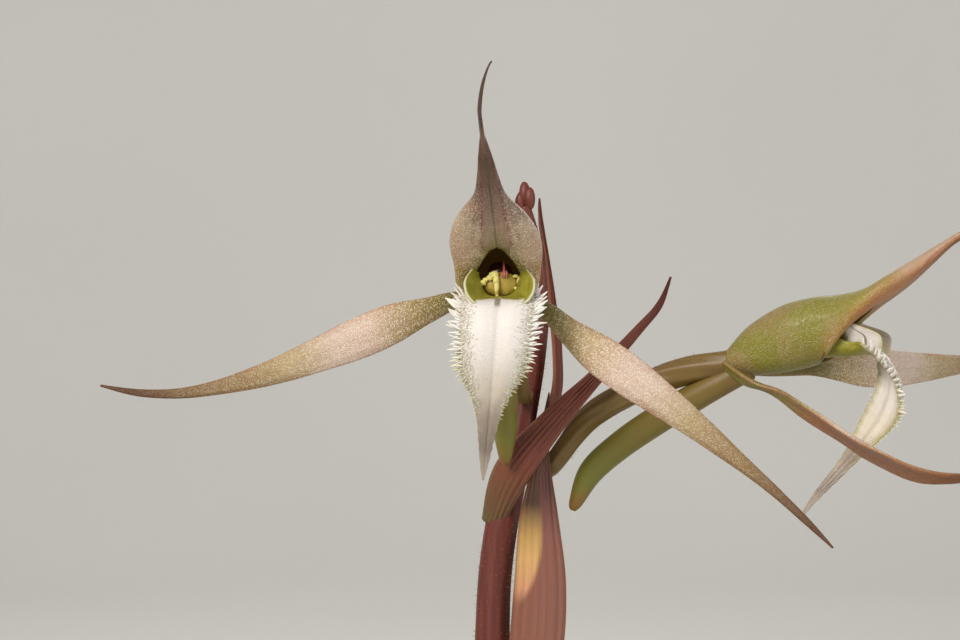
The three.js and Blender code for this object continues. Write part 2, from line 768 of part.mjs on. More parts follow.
function ovaryAndSpur(frame, { node, bearing, spurSwing }) {
  const { centre, radius } = scapeAt(node);
  const foot = centre.addScaledVector(bearingVector(bearing), radius + 1.5 * GAP);
  frame.worldToLocal(foot);
  const row = (y, z, width) => {
    const share = (z + 12) / (foot.z + 12);
    return [foot.x * share * share, y, z, width];
  };
  const ovary = tube(
    [
      [foot.x, foot.y, foot.z, 0.9],
      row(foot.y + 0.8, foot.z + 2.4, 1.1),
      row(-9.0, -28.3, 1.35),
      row(-5.5, -22, 1.45),
      row(-3.6, -16.5, 1.5),
      [0, -2.7, -11.5, 1.4],
    ],
    7,
    6,
  );
  const spur = tube(
    [
      [0, -3.4, -10, 1.3],
      [0.1 * spurSwing, -6.0, -15, 1.5],
      [0.4 * spurSwing, -9.2, -20.5, 1.6],
      [0.7 * spurSwing, -12.2, -25, 1.55],
      [0.9 * spurSwing, -15.2, -28.4, 1.4],
      [spurSwing, -18.6, -30.2, 0.8],
    ],
    6,
    6,
  );
  return join([ovary, spur]);
}

function perianth(frame, flower) {
  const rings = HOOD.map((_, row) => hoodRing(row, flower.sway));
  const tail = TAIL.map(([y, z], i) => {
    const tip = i / (TAIL.length - 1);
    return [leanAt(flower.sway, y) + 1.1 * tip ** 3, y, z, 0.36 - 0.06 * tip];
  });
  const outside = join([
    skin(rings),
    tube(tail, 5, 5),
    sideSepal(-1, flower.left),
    sideSepal(1, flower.right),
    ovaryAndSpur(frame, flower),
  ]);
  return wholeBody(outside.subtract(throat(flower.sway)));
}

// The lip: edge rows stand in and out by turns along the fringe. A lip with a turn swings its left
// edge forward, more and more towards its tip.
function lip({ lipTurn = 0 }) {
  const rows = LIP.length - 1;
  const { first, last, teeth, length } = FRINGE;
  const stations = [0, 1 / rows, 2 / rows, 2.9 / rows];
  for (let k = 0; k <= 2 * teeth; k++) {
    stations.push((first + ((last - first) * k) / (2 * teeth)) / rows);
  }
  stations.push(11.2 / rows, 12.2 / rows, 1);
  const place = (t, v, rowOf = t) => {
    const row = rowOf * rows;
    const tooth = ((row - first) / (last - first)) * 2 * teeth;
    const inFringe = tooth > 0.5 && tooth < 2 * teeth - 0.5;
    const sticksOut = inFringe && Math.round(tooth) % 2 === 1;
    const reach = length * (1 - 0.78 * THREE.MathUtils.smoothstep(row, 6, last));
    const p = bezier(sectionAt(LIP, t), Math.abs(v));
    const extra = sticksOut && Math.abs(v) === 1 ? reach : 0;
    const side = Math.sign(v);
    const lean = THREE.MathUtils.mapLinear(Math.min(p.y, 0), 0, -19.3, ...LIP_SWAY);
    const depth = bezier(sectionAt(LIP, t), 0).z;
    const turned = radians(lipTurn * THREE.MathUtils.smoothstep(row, 3.6, 11));
    const spot = new THREE.Vector3(side * (p.x + extra), 0, p.z - 0.25 * extra - depth);
    spot.applyAxisAngle(new THREE.Vector3(0, 1, 0), turned);
    return new THREE.Vector3(spot.x + lean, p.y + 0.12 * extra, spot.z + depth);
  };
  return blade(place, stations, 4, THICK);
}

// The column, with its anther and pollen lumps
function column() {
  const body = tube(
    [
      [0, -0.6, -7.8, 0.9],
      [0, -0.3, -5, 1.0],
      [0, 0.1, -2, 1.3],
      [0, 0.2, 0.2, 1.4],
      [0, 0.3, 1.0, 0.7],
    ],
    5,
    6,
  );
  const lump = (x, y, z, radius) => tube([[x, y, z - 0.6, radius], [x, y, z + 0.4, 0.3]], 1, 4);
  return join([body, lump(-1.35, 0.3, 0.9, 0.5), lump(1.4, 0.3, 0.9, 0.5), lump(0, 0.7, 1.2, 0.5)]);
}

function capsule() {
  const { centre, radius } = scapeAt(CAPSULE.node);
  const out = bearingVector(CAPSULE.bearing);
  const behind = bearingVector(CAPSULE.bearing + 90);
  const row = (reach, rise, width, back = 0) => {
    const at = centre.clone().addScaledVector(out, reach).addScaledVector(behind, back);
    return [at.x, at.y, at.z + rise, width];
  };
  const fruit = tube(
    [
      row(radius + GAP + 0.2, 0, 0.7),
      row(radius + 2.2, 1.0, 0.8),
      row(radius + 3.9, 6, 1.7),
      row(radius + 4.3, 12, 1.9),
      row(radius + 4.0, 17, 1.3),
      row(radius + 4.0, 20, 0.9),
    ],
    7,
    7,
  );
  const curled = [
    row(radius + 4.0, 19.6, 0.9),
    row(radius + 4.2, 22, 0.9, 1.2),
    row(radius + 4.3, 22.2, 0.8, 3.4),
    row(radius + 4.3, 18.4, 0.4, 4.4),
  ];
  return join([fruit, tube(curled, 5, 5)]);
}

function bud({ node, bearing, length }) {
  const { centre, radius } = scapeAt(node);
  const out = bearingVector(bearing);
  const row = (reach, rise, width) => {
    const at = centre.clone().addScaledVector(out, radius + 1.4 * GAP + reach * length);
    return [at.x, at.y, at.z + rise * length, width * length];
  };
  const rows = [row(0, 0, 0.05), row(0.12, 0.06, 0.07), row(0.26, 0.34, 0.1)];
  return tube([...rows, row(0.34, 0.64, 0.12), row(0.42, 1, 0.03)], 6, 6);
}

const plant = new THREE.Group();
plant.add(mesh('pot', pot(), 'clay'));
plant.add(mesh('potting_mix', pottingMix(), 'mix'));
plant.add(mesh('rootstock', rootstock(0), 'root'));
plant.add(mesh('scape', scape(), 'scape'));
LEAVES.forEach((each, i) => plant.add(mesh(`leaf_${i + 1}`, leaf(each), 'leaf')));
BUDS.forEach((each, i) => plant.add(mesh(`bud_${i + 1}`, bud(each), 'bud')));
plant.add(mesh('capsule', capsule(), 'capsule'));
for (const flower of FLOWERS) {
  const frame = flowerFrame(flower);
  frame.add(mesh(`${flower.name}_perianth`, perianth(frame, flower), 'perianth'));
  frame.add(mesh(`${flower.name}_lip`, lip(flower), 'lip'));
  frame.add(mesh(`${flower.name}_column`, column(), 'column'));
  plant.add(frame);
}

export default plant;
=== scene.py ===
import functools
import math

import bpy
import numpy as np
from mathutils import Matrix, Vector


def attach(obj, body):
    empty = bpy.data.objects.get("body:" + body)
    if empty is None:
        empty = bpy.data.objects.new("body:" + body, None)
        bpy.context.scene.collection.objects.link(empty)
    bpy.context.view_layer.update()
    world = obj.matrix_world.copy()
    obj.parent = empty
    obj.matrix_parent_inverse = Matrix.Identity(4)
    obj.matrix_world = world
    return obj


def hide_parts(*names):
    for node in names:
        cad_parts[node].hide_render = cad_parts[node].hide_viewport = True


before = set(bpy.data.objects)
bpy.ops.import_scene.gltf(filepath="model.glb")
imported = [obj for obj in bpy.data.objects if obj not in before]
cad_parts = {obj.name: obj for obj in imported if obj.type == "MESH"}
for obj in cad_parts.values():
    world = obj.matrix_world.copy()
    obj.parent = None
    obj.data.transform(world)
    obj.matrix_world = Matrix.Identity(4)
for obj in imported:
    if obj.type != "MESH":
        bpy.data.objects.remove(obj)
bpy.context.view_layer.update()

MM = 0.001

POT = {
    "height": 108, "base": 43, "waist": 57, "rim": 65, "rim_height": 25,
    "wall": 5.5, "foot_wall": 4.5, "floor": 6, "drain": 4.5, "drain_circle": 24,
}
MIX_TOP, MIX_MOUND, MIX_LUMP = 94, 3, 1.7
CROWN_TOP, CROWN_RADIUS, ROOTS, ROOT_LENGTH, ROOT_RADIUS = 84, 14, 6, 44, 2.8
PETIOLE_CIRCLE, PETIOLE_RADIUS, PETIOLE_NECK = 9, 2.4, 1.7
# The air that the CAD leaves between two solids
GAP = 0.35
# Seeds of the trees' random tones and sizes
TONE_SEED, SIZE_SEED = 3, 5
# Steps of the curve that the scape is read from
SCAPE_STEPS = 2000

# The scape's own line: x, y, z and radius
SCAPE_LINE = [
    [0, 0, CROWN_TOP + GAP, 2.5], [0.2, 0.3, 112, 2.5], [2.0, 2.5, 190, 2.4], [5.5, 3.0, 270, 2.3],
    [11.0, 2.0, 335, 2.2], [15.8, 0.6, 380, 2.0], [16.9, 0.2, 400, 1.9], [19.2, 0, 413, 1.65],
    [21.2, 0, 424, 1.35], [21.8, 0.3, 433, 1.1], [20.2, 0.8, 441, 0.7],
]

# Each sheath's foot, length and the side its point stands on
SHEATHS = [(118, 34, 200), (158, 32, 40), (198, 30, 250), (238, 28, 90), (274, 24, 310)]

# A leaf's bearing, half width and twist, then its petiole and midrib: distance out, then height
LEAVES = [
    (172, 29, 8, [[9, 112], [13, 146], [22, 184], [33, 212]],
     [[33, 212], [50, 243], [73, 265], [99, 271], [122, 261], [139, 240]]),
    (38, 27, -10, [[9, 112], [12, 142], [19, 176], [29, 205]],
     [[29, 205], [42, 236], [63, 259], [88, 268], [111, 261], [129, 243]]),
    (262, 25, 14, [[9, 112], [14, 136], [24, 162], [36, 181]],
     [[36, 181], [54, 201], [76, 213], [99, 213], [119, 202], [134, 184]]),
    (318, 19, -16, [[9, 112], [12, 130], [18, 150], [26, 168]],
     [[26, 168], [38, 187], [55, 201], [74, 205], [92, 199], [105, 187]]),
]
LEAF_SHAPE = [0.06, 0.4, 0.72, 0.93, 1, 0.97, 0.86, 0.68, 0.45, 0.2, 0.015]

# A bract's midline from its node: outward, sideways and up
BRACT_LINE = [
    [-1.0, 1.2, -5.8], [0.9, 4.0, 0.0], [5.9, 4.6, 5.8], [11.2, 4.8, 11.0],
    [16.2, 5.1, 16.2], [18.8, 5.6, 19.0], [20.3, 6.4, 22.0],
]
BRACT_WIDTH = [2.6, 4.2, 3.0, 1.7, 0.9, 0.6, 0.2]
HUGGING_BRACT = [
    [-1.0, 1.2, -5.8], [0.4, 3.6, -0.6], [2.6, 3.9, 5.2], [5.4, 3.4, 10.6],
    [8.2, 2.8, 15.6], [10.0, 2.3, 19.4], [11.0, 2.2, 22.0],
]
UPRIGHT_BRACT = [
    [0.4, 1.2, -6], [3.2, 4.1, 2], [5.6, 4.6, 10], [6.3, 4.6, 18],
    [6.2, 4.4, 26], [6.6, 4.6, 33], [7.4, 5.2, 40],
]
UPRIGHT_WIDTH = [3.4, 5.4, 6.0, 5.8, 4.2, 1.5, 0.12]

# A flower's sizes by name: its node's height, its reach and rise from there, the bearing it grows on
# and the one it faces, its lean, its spur's swing, the degrees its lip is twisted, how young it is,
# and its left and right sepals, each with a knee, the degrees it droops and points forward and the
# ones it is rolled on edge. Last come its bract's side and line.
WIDE_OPEN = [35, 8, 3, 2, 0]
HALF_OPEN = [38, 28, 22, 16, 10]
FLOWER_SIZES = (
    "node", "reach", "rise", "bearing", "facing", "sway", "swing", "turn", "young", "left", "right", "bract",
)
FLOWERS = [dict(zip(FLOWER_SIZES, flower)) for flower in (
    (419.4, 36.5, 12.2, -95.2, -90, -1.9, 0.8, 0, 0.0,
     ([4.3, -1.5, -3.6], [18, 23, 20, 8, -14], WIDE_OPEN, 0),
     ([4.5, -2.5, -3.6], [42, 36, 38, 41, 46], WIDE_OPEN, 0), (1, HUGGING_BRACT)),
    (410.8, 37.6, 15.4, -19, -17, 0.6, 1.8, 70, 1.0,
     ([3.4, -6.2, -6.2], [42, 36, 19, -5, -15], [50, 48, 46, 42, 38], 26),
     ([4.4, -3.4, -4.4], [4, 0, -3, -3, 0], [48, 42, 36, 30, 24], 0), (-1, BRACT_LINE)),
    (353, 36, 14.5, 196, 200, 1.2, 1.0, 12, 0.7,
     ([4.4, -2.4, -4], [30, 32, 34, 26, 8], HALF_OPEN, 0),
     ([4.4, -2.0, -4], [22, 24, 22, 10, -8], WIDE_OPEN, 0), (1, BRACT_LINE)),
    (329, 35, 14, 66, 62, -0.9, -0.8, -9, 0.4,
     ([4.4, -2.2, -4], [26, 28, 24, 12, -4], WIDE_OPEN, 0),
     ([4.4, -2.6, -4], [36, 38, 38, 30, 16], HALF_OPEN, 0), (-1, BRACT_LINE)),
    (303, 37, 15, -58, -62, 0.8, 0.9, 6, 0.2,
     ([4.4, -2.0, -4], [20, 24, 26, 20, 4], WIDE_OPEN, 0),
     ([4.4, -2.6, -4], [32, 34, 30, 18, 0], HALF_OPEN, 0), (1, BRACT_LINE)),
)]

# The hood from the ovary to the tail, in a flower's own axes: x to its side, y up, z forward. Each
# row holds a half section's four Bezier points, from the back's midline round to the front edge.
HOOD = [
    [[0, -1.3, -12.4], [2.0, -1.3, -12.4], [2.0, -4.1, -12.2], [0, -4.1, -12.2]],
    [[0, 1.3, -10.0], [3.7, 1.3, -9.8], [3.6, -4.3, -9.2], [0, -4.3, -9.0]],
    [[0, 3.5, -6.3], [5.1, 3.7, -6.0], [4.7, -4.0, -5.6], [0, -3.8, -5.5]],
    [[0, 4.4, -2.8], [5.6, 4.8, -2.6], [4.7, -3.3, -2.4], [0, -3.1, -2.6]],
    [[0, 4.6, -0.4], [5.9, 5.1, -0.2], [4.2, -1.8, -0.2], [3.1, -2.1, -1.1]],
    [[0, 4.8, 1.0], [6.2, 5.4, 1.2], [4.4, -0.1, 1.4], [2.95, -0.2, 0.2]],
    [[0, 5.0, 2.2], [6.4, 5.8, 2.2], [5.0, 1.2, 3.0], [2.1, 1.4, 1.4]],
    [[0, 5.3, 3.3], [6.2, 6.3, 3.2], [5.5, 2.7, 4.8], [1.15, 2.75, 3.0]],
    [[0, 6.0, 4.6], [5.7, 7.2, 4.5], [5.2, 4.4, 7.0], [0, 3.5, 4.3]],
    [[0, 7.2, 6.2], [4.5, 8.0, 6.3], [4.0, 6.2, 9.0], [0, 5.4, 7.0]],
    [[0, 8.8, 8.6], [2.3, 9.2, 8.8], [2.0, 8.1, 10.9], [0, 7.7, 9.6]],
    [[0, 10.4, 11.2], [1.45, 10.7, 11.4], [1.3, 10.1, 12.6], [0, 9.8, 12.0]],
    [[0, 12.0, 13.7], [1.0, 12.1, 13.8], [0.9, 11.7, 14.6], [0, 11.4, 14.4]],
    [[0, 14.3, 16.5], [0.2, 14.3, 16.5], [0.2, 14.1, 16.7], [0, 14.1, 16.7]],
]
HOOD_ROWS = len(HOOD) - 1
TAIL = [[11.2, 13.3], [13.6, 16.0], [15.4, 17.7], [17.2, 19.0], [18.9, 19.9], [20.4, 20.4]]
TAIL_WIDTH = [0.9, 1.3, 1.2, 0.8, 0.5, 0.2]

# The lip in the same axes, three Bezier points to a half section
LIP = [
    [[0, -2.6, -6.6], [1.4, -2.6, -6.6], [1.5, -1.4, -6.6]],
    [[0, -2.2, -3.4], [1.85, -2.15, -3.4], [2.15, -0.6, -3.4]],
    [[0, -1.9, -0.8], [2.35, -2.2, -0.8], [2.5, 0.3, -1.0]],
    [[0, -1.7, 1.5], [2.4, -2.15, 1.6], [2.5, -0.45, 1.4]],
    [[0, -1.6, 3.4], [2.2, -1.8, 3.6], [3.4, -0.6, 2.8]],
    [[0, -2.5, 5.0], [2.5, -2.2, 5.2], [3.8, -1.6, 3.8]],
    [[0, -4.4, 5.8], [2.5, -4.3, 6.2], [3.7, -3.8, 4.9]],
    [[0, -6.6, 5.6], [2.3, -6.5, 6.1], [3.45, -6.2, 5.1]],
    [[0, -8.8, 4.7], [2.0, -8.7, 5.2], [3.0, -8.6, 4.4]],
    [[0, -11.0, 3.2], [1.3, -10.9, 3.7], [1.9, -10.8, 3.0]],
    [[0, -13.2, 1.4], [0.8, -13.1, 1.7], [1.15, -13.0, 1.3]],
    [[0, -15.4, -0.6], [0.6, -15.3, -0.4], [0.8, -15.3, -0.6]],
    [[0, -17.4, -2.4], [0.4, -17.4, -2.3], [0.5, -17.4, -2.4]],
    [[0, -19.7, -4.1], [0.08, -19.7, -4.1], [0.12, -19.7, -4.1]],
]
LIP_ROWS = len(LIP) - 1
# The height of the lip's tip, and how far the lip stands aside at that tip and at its top
LIP_TIP, LIP_SWAY = -19.3, [-1.7, -0.15]
# Where the fringe starts and ends in the lip's rows, and down it how long its teeth are and how
# many degrees they point up. Each of its rows is set in from the edge, with its teeth and length.
TEETH_ROWS = (4.2, 10.3)
TEETH_LENGTH = [1.1, 1.5, 1.55, 1.4, 1.1, 0.7, 0.4, 0.25]
TEETH_RISE = [52, 36, 14, 2, -8, -25, -38, -50]
FRINGE_ROWS = ((0.0, 30, 0.95), (0.08, 32, 0.76), (0.17, 33, 0.6), (0.28, 33, 0.45), (0.42, 30, 0.34))
# The collar's reach to each side of its bottom in degrees, then its inner and outer radius and its
# depth from that bottom to its two ends
COLLAR_ARC, COLLAR = 118, [
    [1.35, 1.42, 3.0], [1.5, 1.95, 4.2], [1.68, 3.0, 4.9],
    [1.82, 3.4, 5.1], [1.95, 3.45, 4.8], [2.5, 3.1, 2.0],
]

SEPAL_LENGTH = 38
SEPAL_WIDTH = [1.6, 2.5, 3.8, 4.0, 3.4, 2.7, 2.0, 1.3, 0.9, 0.65, 0.2]
CAPSULE_NODE, CAPSULE_BEARING = 380, -4
BUDS = [(427.5, 158, 10.5), (433, 205, 10), (435, 110, 6)]


# Small maths, on whole arrays at once
def glide(rows, t):
    """A smooth value at t, from 0 to 1, through evenly spaced rows of numbers."""
    rows = np.asarray(rows, float)
    flat = rows.reshape(len(rows), -1)
    t = np.asarray(t, float)
    last = len(rows) - 1
    at = np.clip(t, 0, 1) * last
    i = np.minimum(at.astype(int), last - 1)
    f = (at - i)[..., None]
    a, b, c, d = (flat[np.clip(i + k, 0, last)] for k in (-1, 0, 1, 2))
    bend = 2 * a - 5 * b + 4 * c - d
    value = b + 0.5 * f * (c - a + f * (bend + f * (3 * b - a - 3 * c + d)))
    return value.reshape(t.shape + rows.shape[1:])


def unit(v):
    """The same directions with a length of one."""
    return v / np.maximum(np.linalg.norm(v, axis=-1, keepdims=True), 1e-9)


def course(rows, t, step=0.02):
    """The direction in which a glide goes on at t."""
    return unit(glide(rows, t + step) - glide(rows, t - step))


def smooth(x, low, high):
    """Rises from 0 at low to 1 at high, or falls where high is the lower, and is level outside."""
    f = np.clip((x - low) / (high - low), 0, 1)
    return f * f * (3 - 2 * f)


def ridge(x, middle, width):
    """1 on a line at middle, falling to nothing either side of it."""
    return np.exp(-(((x - middle) / width) ** 2))


def bearing(degrees):
    """The level direction that lies so many degrees round from +X."""
    turn = np.radians(degrees)
    return np.stack([np.cos(turn), np.sin(turn), 0 * turn], -1)


def bezier(points, share):
    """Points at a share of curves. points holds 3 or 4 control points before its last axis."""
    s = share[..., None]
    r = 1 - s
    if points.shape[-2] == 4:
        weights = (r**3, 3 * r * r * s, 3 * r * s * s, s**3)
    else:
        weights = (r * r, 2 * r * s, s * s)
    return sum(points[..., k, :] * w for k, w in enumerate(weights))


def scape_at(height):
    """The scape's middle and radius at a height, or at each of many."""
    line = glide(SCAPE_LINE, np.linspace(0, 1, SCAPE_STEPS + 1))
    x, y, z, radius = (np.interp(height, line[:, 2], line[:, k]) for k in range(4))
    return np.stack([x, y, z], -1), radius


# Shells: closed surfaces gathered into pieces
class Growth:
    """Closed shells of one piece, in millimetres, with marks at their points for the materials."""

    def __init__(self):
        self.points, self.faces, self.finish, self.marks, self.count = [], [], [], [], 0

    def add(self, shell, finish=0, place=None, **marks):
        """Adds a shell's points, faces and marks, its faces turned outward. finish is the place of
        its material among the mesh's finishes."""
        points, faces, own = shell
        points = points.reshape(-1, 3)
        if place is not None:
            points = place(points)
        if volume(points, faces) < 0:
            faces = [f[:, ::-1] for f in faces]
        for f in faces:
            self.faces += (f + self.count).tolist()
            self.finish += [finish] * len(f)
        self.points.append(points)
        filled = {k: np.broadcast_to(v, len(points)) for k, v in {**own, **marks}.items()}
        self.marks.append((len(points), filled))
        self.count += len(points)
        return self

    def mesh(self, name, *finishes):
        made = bpy.data.meshes.new(name)
        made.from_pydata((np.concatenate(self.points) * MM).tolist(), [], self.faces)
        for kind in sorted({k for _, marks in self.marks for k in marks}):
            marked(made, kind, np.concatenate([marks.get(kind, np.zeros(n)) for n, marks in self.marks]))
        for finish in finishes:
            made.materials.append(FINISH[finish])
        made.polygons.foreach_set("material_index", self.finish)
        made.polygons.foreach_set("use_smooth", [True] * len(self.faces))
        made.update()
        return made


def marked(mesh, name, values):
    """Stores a mark at a mesh's points: a number each, or a direction."""
    values = np.asarray(values, np.float32)
    kind, field = ("FLOAT", "value") if values.ndim == 1 else ("FLOAT_VECTOR", "vector")
    mesh.attributes.new(name, kind, "POINT").data.foreach_set(field, values.ravel())


def volume(points, faces):
    """Six times the volume that the faces enclose, below 0 when they face inward."""
    total = 0.0
    for f in faces:
        for k in range(1, f.shape[1] - 1):
            a, b, c = points[f[:, 0]], points[f[:, k]], points[f[:, k + 1]]
            total += float(np.einsum("ij,ij->i", a, np.cross(b, c)).sum())
    return total


def sheet(surface, thickness, rows, columns, bias=0.0):
    """A thin closed sheet. surface(t, v) is its middle, t along it from 0 to 1 and v across from
    -1 to 1; a bias of 1 makes it the front face instead. Marks: along, across, and back, which is
    1 on the face that looks away."""
    t, v = np.meshgrid(np.linspace(0, 1, rows + 1), np.linspace(-1, 1, columns + 1), indexing="ij")
    middle = surface(t, v)
    along = np.gradient(middle, axis=0)
    across = np.gradient(middle, axis=1)
    lift = unit(np.cross(along, across)) * (thickness(t, v) / 2)[..., None]
    front = middle + lift * (1 - bias)
    back = middle - lift * (1 + bias)
    grid = np.arange(t.size).reshape(t.shape)
    ahead = np.stack([grid[:-1, :-1], grid[:-1, 1:], grid[1:, 1:], grid[1:, :-1]], -1).reshape(-1, 4)
    loop = np.concatenate([grid[0, :-1], grid[:-1, -1], grid[-1, :0:-1], grid[:0:-1, 0]])
    following = np.roll(loop, -1)
    rim = np.stack([following, loop, loop + t.size, following + t.size], 1)
    marks = {
        "along": np.tile(t.ravel(), 2), "across": np.tile(v.ravel(), 2),
        "back": np.repeat([0.0, 1.0], t.size),
    }
    points = np.concatenate([front.reshape(-1, 3), back.reshape(-1, 3)])
    return points, [np.concatenate([ahead, ahead[:, ::-1] + t.size, rim])], marks


def walled(rows, sides):
    """The faces of rows of points round an axis, closed by a fan round each of the last two points."""
    grid = np.arange(rows * sides).reshape(rows, sides)
    after = np.roll(grid, -1, axis=1)
    walls = np.stack([grid[:-1], after[:-1], after[1:], grid[1:]], -1)
    foot = np.full(sides, rows * sides)
    caps = [np.stack([foot, after[0], grid[0]], 1), np.stack([foot + 1, grid[-1], after[-1]], 1)]
    return [walls.reshape(-1, 4), np.concatenate(caps)]


def tube(rows, steps, sides, swell=None):
    """A round closed stem through rows of x, y, z and radius. swell(t, turn) scales its radius.
    Marks: along, and across, the share of a turn round it."""
    t = np.linspace(0, 1, steps + 1)
    line = glide(rows, t)
    centre, radius = line[:, :3], line[:, 3]
    heading = unit(np.gradient(centre, axis=0))
    aside = unit(np.cross(heading[0][[2, 0, 1]], heading[0]))
    turn = np.arange(sides) * 2 * math.pi / sides
    points = []
    for k in range(steps + 1):
        aside = unit(aside - heading[k] * aside.dot(heading[k]))
        up = np.cross(heading[k], aside)
        r = radius[k] * (1 if swell is None else swell(t[k], turn))
        spoke = np.outer(np.cos(turn) * r, aside) + np.outer(np.sin(turn) * r, up)
        points.append(centre[k] + spoke)
    marks = {
        "along": np.append(np.repeat(t, sides), [0, 1]),
        "across": np.append(np.tile(turn / (2 * math.pi), steps + 1), [0, 0]),
    }
    return np.concatenate([*points, centre[:1], centre[-1:]]), walled(steps + 1, sides), marks


def turned(profile, sides, shift):
    """A solid of revolution from radius and height, both ends on the axis. shift(points) moves
    what was turned."""
    profile = np.asarray(profile, float)
    reach, height = profile[1:-1, :1], profile[1:-1, 1:]
    turn = np.arange(sides) * 2 * math.pi / sides
    rings = np.stack([reach * np.cos(turn), reach * np.sin(turn), height * np.ones(sides)], -1)
    ends = [[0, 0, profile[0][1]], [0, 0, profile[-1][1]]]
    points = shift(np.concatenate([rings.reshape(-1, 3), ends]))
    return points, walled(len(profile) - 2, sides), {}


def rounded(profile, radius, spacing):
    """The profile with its corners eased by radius, then stepped at about spacing."""
    profile = [np.array(p, float) for p in profile]
    line = [profile[0]]
    for before, at, after in zip(profile, profile[1:], profile[2:]):
        back, on = before - at, after - at
        ease = min(radius, 0.45 * np.linalg.norm(back), 0.45 * np.linalg.norm(on))
        start, end = at + unit(back) * ease, at + unit(on) * ease
        for s in np.linspace(0, 1, 6):
            line.append((1 - s) ** 2 * start + 2 * s * (1 - s) * at + s * s * end)
    line.append(profile[-1])
    stepped = [line[0]]
    for a, b in zip(line, line[1:]):
        steps = max(1, round(np.linalg.norm(b - a) / spacing))
        stepped += [a + (b - a) * (s + 1) / steps for s in range(steps)]
    return stepped


# Nodes, for materials and for what repeats
def linear(colour):
    """An sRGB hex colour as linear red, green, blue and alpha."""
    channels = [int(colour[i : i + 2], 16) / 255 for i in (1, 3, 5)]
    return [c / 12.92 if c <= 0.04045 else ((c + 0.055) / 1.055) ** 2.4 for c in channels] + [1.0]


def add(tree, kind, inputs=(), stops=(), **settings):
    """Adds a node with its settings, its ramp's stops and its inputs, by name or in its own order:
    each a value, a hex colour, a socket, a node whose first output is meant or, after an @, one of
    the mesh's marks. A Mix is one of colours."""
    homes = ("ShaderNode", "GeometryNode", "FunctionNode", "Node")
    made = tree.nodes.new(next(home + kind for home in homes if hasattr(bpy.types, home + kind)))
    if kind == "Mix":
        made.data_type = "RGBA"
    for key, value in settings.items():
        setattr(made, key, value)
    for k, (at, colour) in enumerate(stops):
        elements = made.color_ramp.elements
        element = elements[k] if k < 2 else elements.new(1.0)
        element.position = at
        element.color = linear(colour)
    sockets = [s for s in made.inputs if s.enabled]
    for key, value in inputs.items() if isinstance(inputs, dict) else enumerate(inputs):
        socket = next(s for k, s in enumerate(sockets) if key in (k, s.name))
        if isinstance(value, str) and value.startswith("@"):
            value = add(tree, "Attribute", attribute_name=value[1:]).outputs["Fac"]
        if isinstance(value, bpy.types.Node):
            value = next(s for s in value.outputs if s.enabled)
        if isinstance(value, bpy.types.NodeSocket):
            tree.links.new(value, socket)
        else:
            hexed = isinstance(value, str) and value.startswith("#")
            socket.default_value = linear(value) if hexed else value
    return made


def per_mm(size):
    """The scale, on Object coordinates, of a pattern whose marks are size millimetres apart."""
    return 1000.0 / size


def material(name, paint):
    """paint(n, place) adds nodes with n and returns the shader's inputs, with "height" as the
    relief in millimetres and what drives it, and "flesh" as how much light goes into the surface,
    how far, and how far for red, green and blue. place is the Object coordinates."""
    made = bpy.data.materials.new(name)
    made.use_nodes = True
    tree = made.node_tree
    tree.nodes.clear()
    n = functools.partial(add, tree)
    look = paint(n, n("TexCoord").outputs["Object"])
    if "height" in look:
        depth, height = look.pop("height")
        look["Normal"] = n("Bump", {"Height": height, "Distance": depth * MM})
    look.update(zip(["Subsurface Weight", "Subsurface Scale", "Subsurface Radius"], look.pop("flesh", ())))
    n("OutputMaterial", {"Surface": n("BsdfPrincipled", look)})
    return made


def coated(n, colour, *coats):
    """A colour under coats of others. Each coat has what drives it, the values where it starts and
    where it is full, how strong it is there, and its colour."""
    for drive, start, full, strength, coat in coats:
        cover = n("MapRange", [drive, start, full, 0.0, strength])
        colour = n("Mix", [cover, colour, coat])
    return colour


def veined(n, drive, count):
    """A wave over what drives it, for parallel veins or ribs: count half waves to one unit."""
    return n("Math", [n("Math", [drive, count * math.pi], operation="MULTIPLY")], operation="COSINE")


# Materials
def terracotta(n, place):
    """Terracotta, thrown and fired unglazed: matte and gritty, darker where it holds water, with
    pale lime dried out on it below the rim."""
    height = n("SeparateXYZ", [place]).outputs["Z"]
    cloud = n("TexNoise", [place, per_mm(42), 6.0, 0.62])
    clay = n("ValToRGB", [cloud], [(0.3, "#93502f"), (0.52, "#b0643c"), (0.72, "#c27c52")])
    grit = n("TexVoronoi", [place, per_mm(1.7)])
    speck = n("ValToRGB", [grit], [(0.05, "#7c4127"), (0.22, "#ffffff")])
    clay = n("Mix", [0.55, clay, speck], blend_type="MULTIPLY")
    patch = n("TexNoise", [place, per_mm(17), 7.0, 0.7])
    band = n("MapRange", [height, 0.02, 0.082])
    lime = n("Math", [patch, band, -0.42], operation="MULTIPLY_ADD")
    clay = coated(n, clay, (height, 0.03, 0.0, 0.35, "#6d3b24"), (lime, 0.0, 0.2, 0.55, "#d8c8b6"))
    grain = n("TexNoise", [place, per_mm(0.7), 3.0])
    return {"Base Color": clay, "Roughness": 0.88, "Specular IOR Level": 0.3, "height": (0.12, grain)}


def pine_bark(n, place):
    """Pine bark chips: corky plates, rust brown where they split and grey brown where weathered."""
    plates = n("TexNoise", [place, per_mm(2.2), 5.0, 0.65])
    worn = n("Math", ["@tone", 0.45, plates], operation="MULTIPLY_ADD")
    browns = [(0.38, "#2b1a12"), (0.55, "#56341f"), (0.78, "#84573a"), (1.0, "#a07f60")]
    bark = n("ValToRGB", [worn], browns)
    return {"Base Color": bark, "Roughness": 0.9, "Specular IOR Level": 0.25, "height": (0.35, plates)}


def perlite(n, place):
    """Perlite: popped volcanic glass, chalk white and full of pores."""
    pores = n("TexVoronoi", [place, per_mm(0.6)])
    chalk = n("ValToRGB", [pores], [(0.0, "#b9b3a8"), (0.5, "#efece5")])
    return {"Base Color": chalk, "Roughness": 0.75, "height": (0.15, pores)}


